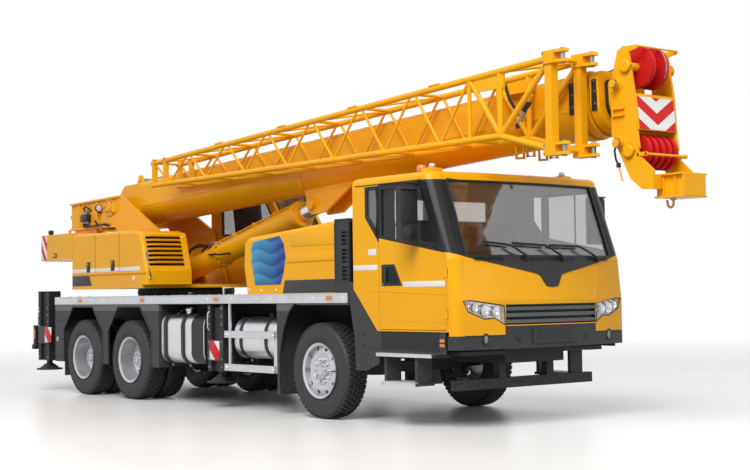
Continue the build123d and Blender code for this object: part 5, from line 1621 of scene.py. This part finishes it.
# %% Lift cylinder
REACH = Vector((3.33, 0, 0.80)).normalized()
RISE = Vector((-REACH.z, 0, REACH.x))
LEAN = Matrix(((REACH.x, 0, RISE.x, 0), (0, 1, 0, 0), (REACH.z, 0, RISE.z, 0), (0, 0, 0, 1)))
LIFT_FOOT = Vector((-3.10, 0, 1.70))
SIDE_HOSE = ((0.95, -0.165, 0.02), (1.10, -0.205, -0.02), (1.28, -0.200, -0.07), (1.42, -0.135, -0.09))


def on_barrel(along, y=0.0, lift=0.0):
    """Point from the distance along the lift cylinder, the side and the height over its axis."""
    return LIFT_FOOT + REACH * along + RISE * lift + Vector((0, y, 0))


def level_with_barrel(along):
    """Place on the lift cylinder's axis, turned to its slope."""
    return Matrix.Translation(on_barrel(along)) @ LEAN


barrel = Piece("lift_fittings")
for along, outer, half in ((1.02, 0.176, 0.018), (1.075, 0.176, 0.015), (2.960, 0.178, 0.015)):
    barrel.lathe([(0.148, -half), (outer, -half), (outer, half), (0.148, half)], (0, 0, 0), "x", PAINT, 48,
                 level_with_barrel(along))
for place in ring(12, 0.163, (0, 0, 0), "x"):
    barrel.stud([(0.011, 0), (0.011, 0.018)], place, "x", PIN_STEEL, 6, level_with_barrel(1.095))
barrel.block((-0.075, -0.055, 0.145), (0.075, 0.055, 0.215), PIN_STEEL, 0.006, level_with_barrel(0.86))
for y, slack in ((-0.16, 0.05), (-0.10, 0.09), (0.10, 0.08), (0.16, 0.04)):
    barrel.tube([on_barrel(0.25, y, 0.13), on_barrel(0.42, y, 0.16 + slack),
                 on_barrel(0.62, y * 0.8, 0.17 + slack), on_barrel(0.79, y * 0.3, 0.190)], 0.014, HOSE, 10)
pipe = ((0.93, 0.185), (1.25, 0.172), (2.60, 0.168), (2.84, 0.160))
barrel.tube([on_barrel(along, -0.03, lift) for along, lift in pipe], 0.011, PAINT, 10)
for along in (1.45, 1.95, 2.45):
    barrel.block((-0.020, -0.060, 0.144), (0.020, 0.0, 0.186), PAINT, 0.004, level_with_barrel(along))
barrel.tube([on_barrel(*place) for place in SIDE_HOSE], 0.013, HOSE, 10)
barrel.put("lift_barrel", "paint")

# %% [markdown]
# ## Turntable plates
# The two plates that carry the boom's foot are stiffened by ribs, and the winch's valves, hoses and a
# work lamp sit on their outer faces. The boom's foot pin ends in bolted caps.

# %% Ribs, valves and the work lamp
PLATE_Y = 0.470
RIBS = ([(-5.705, 2.806), (-5.705, 2.834), (-4.150, 2.875), (-4.150, 2.846)],
        [(-5.705, 2.417), (-5.705, 2.445), (-4.330, 2.445), (-4.302, 2.417)])
LAMP_SHELL = [(0.0, -0.050), (0.030, -0.046), (0.050, -0.020), (0.056, 0.020), (0.056, 0.030),
              (0.049, 0.030), (0, 0.026)]
LAMP_GLASS = [(0.0, 0.044), (0.030, 0.040), (0.049, 0.028), (0.049, 0.020), (0, 0.020)]
VALVE_HOSE = ((-5.205, 0.03, 2.690), (-5.215, 0.045, 2.740), (-5.150, 0.050, 2.765),
              (-5.060, 0.040, 2.730), (-5.040, 0.005, 2.690))
LAMP_STALK = ((-4.705, -0.002, 2.650), (-4.705, 0.070, 2.650), (-4.705, 0.070, 2.670))


def off_plate(points):
    """Points given by their distance out from the plate's face."""
    return [(x, PLATE_Y + out, z) for x, out, z in points]


def dress_plate(side):
    made = Piece("plate_fittings", side)
    for outline in RIBS:
        made.plate(outline, "y", PLATE_Y - 0.002, PLATE_Y + 0.036, PAINT, 0.003)
    for x in (-5.420, -4.812):
        made.block((x - 0.010, PLATE_Y - 0.002, 2.440), (x + 0.010, PLATE_Y + 0.030, 2.815), PAINT, 0.002)
    made.bolts(ring(8, 0.108, (FOOT_X, PLATE_Y + 0.020, FOOT_Z), "y"), "y", 0.012, 0.014, PIN_STEEL)
    made.stud([(0.074, 0), (0.074, 0.016), (0.060, 0.026)], (FOOT_X, PLATE_Y + 0.019, FOOT_Z), "y", PAINT, 40)
    made.block((-5.270, PLATE_Y, 2.530), (-5.060, PLATE_Y + 0.080, 2.640), TRIM_BLACK, 0.010)
    made.block((-5.240, PLATE_Y, 2.640), (-5.100, PLATE_Y + 0.060, 2.690), PIN_STEEL, 0.008)
    for k, x in enumerate((-5.235, -5.185, -5.135, -5.090)):
        made.stud([(0.016, 0), (0.016, 0.026)], (x, PLATE_Y + 0.040, 2.505), "z", PIN_STEEL, 6)
        fan, far = 0.012 * k, 0.03 * k
        made.tube(off_plate(((x, 0.040, 2.515), (x, 0.040, 2.470), (x + 0.04, 0.050 + fan, 2.452),
                             (x + 0.22 + 0.05 * k, 0.052 + fan, 2.456), (-4.60 + far, 0.045, 2.470),
                             (-4.47 + far, 0.040, 2.440))), 0.011, HOSE, 8)
    made.tube(off_plate(VALVE_HOSE), 0.012, HOSE, 8)
    lamp = (-4.695, PLATE_Y + 0.070, 2.713)
    made.lathe(LAMP_SHELL, lamp, "x", TRIM_BLACK, 32)
    made.lathe(LAMP_GLASS, lamp, "x", WHITE_LENS, 32)
    made.tube(off_plate(LAMP_STALK), 0.009, TRIM_BLACK, 8)
    made.tube(off_plate(((-4.873, 0.034, 2.530), (-4.770, 0.034, 2.460))), 0.016, TRIM_BLACK, 12)
    made.tube(off_plate(((-4.770, 0.034, 2.460), (-4.650, 0.034, 2.380))), 0.008, ROD_CHROME, 10)
    made.block((-4.320, PLATE_Y, 2.630), (-4.250, PLATE_Y + 0.045, 2.765), PAINT, 0.010)
    made.put("superstructure", "paint")


for side in SIDES:
    dress_plate(side)

# %% Rope from the drum to the boom
leave = Vector((-5.2505, ROPE_Y, 2.7675))
tail_rope = Piece("hoist_rope_tail")
tail_rope.tube([leave.lerp(ROPE_START, k / 16) for k in range(17)], 0.0100, ROPE, 8)
tail_rope.put("superstructure", "rod", bend=("boom_base", leave, ROPE_START))

# %% [markdown]
# ## Operator's cab
# Panes sit in black rubber seals. Outside come a wiper, grab rails, a door handle, a roof beacon and a
# work lamp; inside, two consoles with levers stand beside the seat.

# %% Seals, rails and lamps
INBOARD = [(-2.900, 2.250), (-2.900, 2.830), (-1.900, 2.830), (-1.550, 2.330), (-1.800, 2.200)]
OUTBOARD = [(-3.060, 2.150), (-3.060, 2.800), (-2.420, 2.800), (-2.420, 2.150)]
PANE_Y = (0.610, 1.115)
SILL_Z, BEND_Z, HEAD_Z = 1.750, 2.250, 2.850


def front_x(z):
    """Front of the operator's cab at one height."""
    return -1.330 - 0.7324 * (z - BEND_Z) if z > BEND_Z else -1.330 + 0.1117 * (BEND_Z - z)


def on_screen(y, z, lift):
    """Point on the operator's windscreen, lifted off it."""
    return (front_x(z) + lift, y, z)


def pane_rim(piece, ends):
    """Seal round a pane across the cab, from its two ends in X and Z."""
    (x0, z0), (x1, z1) = ends
    near, far = PANE_Y
    piece.rim([(x0, near, z0), (x1, near, z1), (x1, far, z1), (x0, far, z0)], 0.013, RUBBER)


room = Piece("operator_trim")
room.rim(at_side(0.520, INBOARD), 0.013, RUBBER)
room.rim(at_side(1.203, OUTBOARD), 0.008, RUBBER)
windscreen = [(0.590, z) for z in (SILL_Z, BEND_Z, HEAD_Z)] + [(1.135, z) for z in (HEAD_Z, BEND_Z, SILL_Z)]
room.rim([on_screen(y, z, 0.0) for y, z in windscreen], 0.013, RUBBER)
pane_rim(room, ((-2.900, 2.960), (-2.050, 2.960)))
pane_rim(room, ((-3.200, 2.150), (-3.200, 2.780)))
room.tube([on_screen(0.86, 2.25, 0.022), on_screen(0.74, 2.62, 0.026)], 0.008, TRIM_BLACK, 8)
room.tube([on_screen(0.655, 2.42, 0.020), on_screen(0.825, 2.82, 0.020)], 0.007, TRIM_BLACK, 8)
room.stud([(0.026, 0), (0.026, 0.030), (0, 0.034)], on_screen(0.86, 2.25, 0.004), "x", TRIM_BLACK, 20)
grab = ((1.205, 1.75), (1.238, 1.77), (1.238, 2.33), (1.205, 2.35))
room.tube([(-1.480, y, z) for y, z in grab], 0.012, TRIM_BLACK, 10)
room.tube(at_side(0.60, ((-3.00, 2.958), (-3.00, 3.02), (-2.10, 3.02), (-2.10, 2.958))), 0.012, PAINT, 10)
room.stud([(0.070, 0), (0.070, 0.018), (0.052, 0.024), (0.048, 0.100), (0.030, 0.118), (0, 0.122)],
          (-2.98, 1.06, 2.958), "z", AMBER_LENS, 32)
room.block((-1.98, 0.66, 2.955), (-1.90, 0.74, 3.010), TRIM_BLACK, 0.010)
room.block((-1.905, 0.665, 2.962), (-1.892, 0.735, 3.004), WHITE_LENS, 0.004)
room.block((-3.10, 1.205, 1.62), (-2.40, 1.209, 2.06), PAINT, 0.002)
room.put("superstructure", "paint")

# %% Consoles and sliding door
LEVER_KNOB = [(0.0, -0.03), (0.018, -0.026), (0.024, 0.010), (0.018, 0.040), (0, 0.046)]
inside = Piece("operator_consoles")
for y in (0.590, 1.105):
    inside.block((-2.55, y - 0.025, 1.575), (-2.05, y + 0.045, 2.00), PLASTIC, 0.020)
    inside.block((-2.40, y - 0.022, 2.00), (-2.08, y + 0.042, 2.025), CLOTH, 0.010)
    inside.tube([(-2.13, y + 0.01, 2.02), (-2.11, y + 0.01, 2.12)], 0.010, TRIM_BLACK, 10)
    inside.lathe(LEVER_KNOB, (-2.11, y + 0.01, 2.13), "z", RUBBER, 20)
inside.block((-1.56, 0.66, 1.575), (-1.46, 1.06, 1.640), PLASTIC, 0.015)
for y in (0.76, 0.92):
    inside.block((-1.64, y - 0.04, 1.60), (-1.50, y + 0.04, 1.618), RUBBER, 0.004)
inside.put("superstructure", "dark_plastic")

SLIDER = amber("slider_enamel")
x, y, z = SLIDER.axes()
glazed = (x > -2.2695) * (x < -1.6205) * (z > 2.0205) * (z < 2.4995) * (y > 1.2175) * (y < 1.2385)
second_coat(SLIDER, glazed, (0.030, 0.034, 0.036), 0.04).set(Alpha=1 - 0.70 * glazed)
wear("operator_door", SLIDER)
pull = Piece("operator_door_trim")
pull.rim(at_side(1.243, [(-2.270, 2.020), (-2.270, 2.500), (-1.620, 2.500), (-1.620, 2.020)]), 0.010, RUBBER)
pull.block((-1.640, 1.242, 1.840), (-1.600, 1.252, 1.950), TRIM_BLACK, 0.006)
grip = ((1.248, 1.855), (1.270, 1.865), (1.270, 1.925), (1.248, 1.935))
pull.tube([(-1.62, y, z) for y, z in grip], 0.007, STAINLESS, 8)
pull.block((-2.290, 1.242, 1.640), (-1.600, 1.247, 1.980), PAINT, 0.004)
pull.put("operator_door", "paint")

# %% [markdown]
# ## Tail and deck
# The tail bar carries three-part lamps, reflectors and a bare plate. Rivets, lashing rings, grab rails
# and a hatch each side dress the deck.

# %% Tail lamps, plate and deck fittings
LAMP_PARTS = ((0.815, 0.915, RED_LENS), (0.925, 1.020, AMBER_LENS), (1.030, 1.115, WHITE_LENS))
LAMP_LEAD = ((-5.612, 0.96, 0.86), (-5.560, 0.96, 0.88), (-5.520, 0.80, 0.90), (-5.500, 0.45, 0.92))
tail = Piece("tail_lamps")
for low, high, finish in LAMP_PARTS:
    tail.block((-5.702, low, 0.705), (-5.686, high, 0.925), finish, 0.006)
tail.block((-5.694, 0.805, 0.690), (-5.688, 1.125, 0.940), TRIM_BLACK, 0.002)
tail.block((-5.680, 1.128, 0.760), (-5.620, 1.140, 0.900), AMBER_LENS, 0.005)
tail.stud([(0.042, 0), (0.040, -0.010), (0, -0.012)], (-5.700, 0.70, 0.635), "x", RED_LENS, 32)
tail.tube([(-5.66, 0.92, 0.668), (-5.66, 0.92, 0.640)], 0.012, TRIM_BLACK, 10)
tail.tube(LAMP_LEAD, 0.011, HOSE, 8)
tail.bolts([(-5.700, y, 0.635) for y in (0.55, 1.08)], "x", 0.012, -0.010, PIN_STEEL)
tail.mirror()
tail.block((-5.704, 0.280, 0.682), (-5.698, 0.520, 0.800), WHITE, 0.002)
tail.block((-5.699, 0.270, 0.660), (-5.690, 0.530, 0.808), TRIM_BLACK, 0.002)
tail.put("carrier", "lamp")

deck = Piece("deck_fittings")
for x in spread(-4.55, -3.95, 3):
    deck.lathe([(0.014, 0), (0.030, 0), (0.030, 0.006), (0.014, 0.006)], (x, 1.08, 1.384), "z", STAINLESS, 24)
deck.bolts([(x, 1.17, 1.385) for x in spread(-4.6, 0.1, 22)], "z", 0.008, 0.006, STAINLESS)
deck.tube(at_side(1.16, ((-0.25, 1.380), (-0.25, 1.47), (0.10, 1.47), (0.10, 1.380))), 0.013, STAINLESS, 10)
deck.block((-1.62, 0.80, 1.383), (-1.10, 1.10, 1.395), CHARCOAL, 0.003)
deck.tube(at_side(0.95, ((-1.42, 1.394), (-1.42, 1.412), (-1.30, 1.412), (-1.30, 1.394))), 0.007, STAINLESS, 8)
deck.mirror().put("carrier", "deck_plate")

# %% [markdown]
# ## Seat pads
# Three seats have a cushion and a back, plain blocks in the CAD. A cloth simulation would swell them
# well, but they show only behind tinted glass or an open door. So each pad is a block of fine faces
# whose points are moved: the top is crowned, the sides pull in between the corners, two sewn channels
# run along it and the underside stays flat.

# %% Crowned pads
PAD_RIM, PAD_CROWN, PAD_PULL = 0.014, 0.032, 0.05
CHANNEL_AT, CHANNEL_WIDE, CHANNEL_DEEP = 0.45, 0.09, 0.013
PAD_CUTS = 19


def pad(name, body, corner, across, along):
    """Crowned pad on a seat's face, from the face's corner and its two edges."""
    corner, across, along = Vector(corner), Vector(across), Vector(along)
    out = along.cross(across).normalized()
    form = bmesh.new()
    bmesh.ops.create_cube(form, size=2.0)
    bmesh.ops.subdivide_edges(form, edges=list(form.edges), cuts=PAD_CUTS, use_grid_fill=True)
    for vert in form.verts:
        u, v, w = vert.co
        full = (1 - u ** 4) * (1 - v ** 4)
        sewn = exp(-((abs(u) - CHANNEL_AT) / CHANNEL_WIDE) ** 2) * (1 - v ** 6)
        height = (1 + w) / 2 * (PAD_RIM + PAD_CROWN * full - CHANNEL_DEEP * sewn)
        rounded = 1 - 0.03 * w * w
        u *= rounded * (1 - PAD_PULL * (1 - v * v))
        v *= rounded * (1 - PAD_PULL * (1 - u * u))
        vert.co = corner + across * (u + 1) / 2 + along * (v + 1) / 2 + out * height
    bmesh.ops.recalc_face_normals(form, faces=form.faces)
    Piece(name).join(form, CLOTH).put(body, "cushion", angle=50.0)


for who, y in (("driver", 0.35), ("passenger", -0.85)):
    pad(f"{who}_seat_pad", "carrier", (3.000, y, 1.450), (0, 0.50, 0), (0.378, 0, 0))
    pad(f"{who}_back_pad", "carrier", (2.852, y + 0.02, 2.138), (0, 0.46, 0), (0.125, 0, -0.625))
pad("operator_seat_pad", "superstructure", (-2.610, 0.65, 2.010), (0, 0.43, 0), (0.405, 0, 0))
pad("operator_back_pad", "superstructure", (-2.738, 0.665, 2.688), (0, 0.40, 0), (0.107, 0, -0.615))
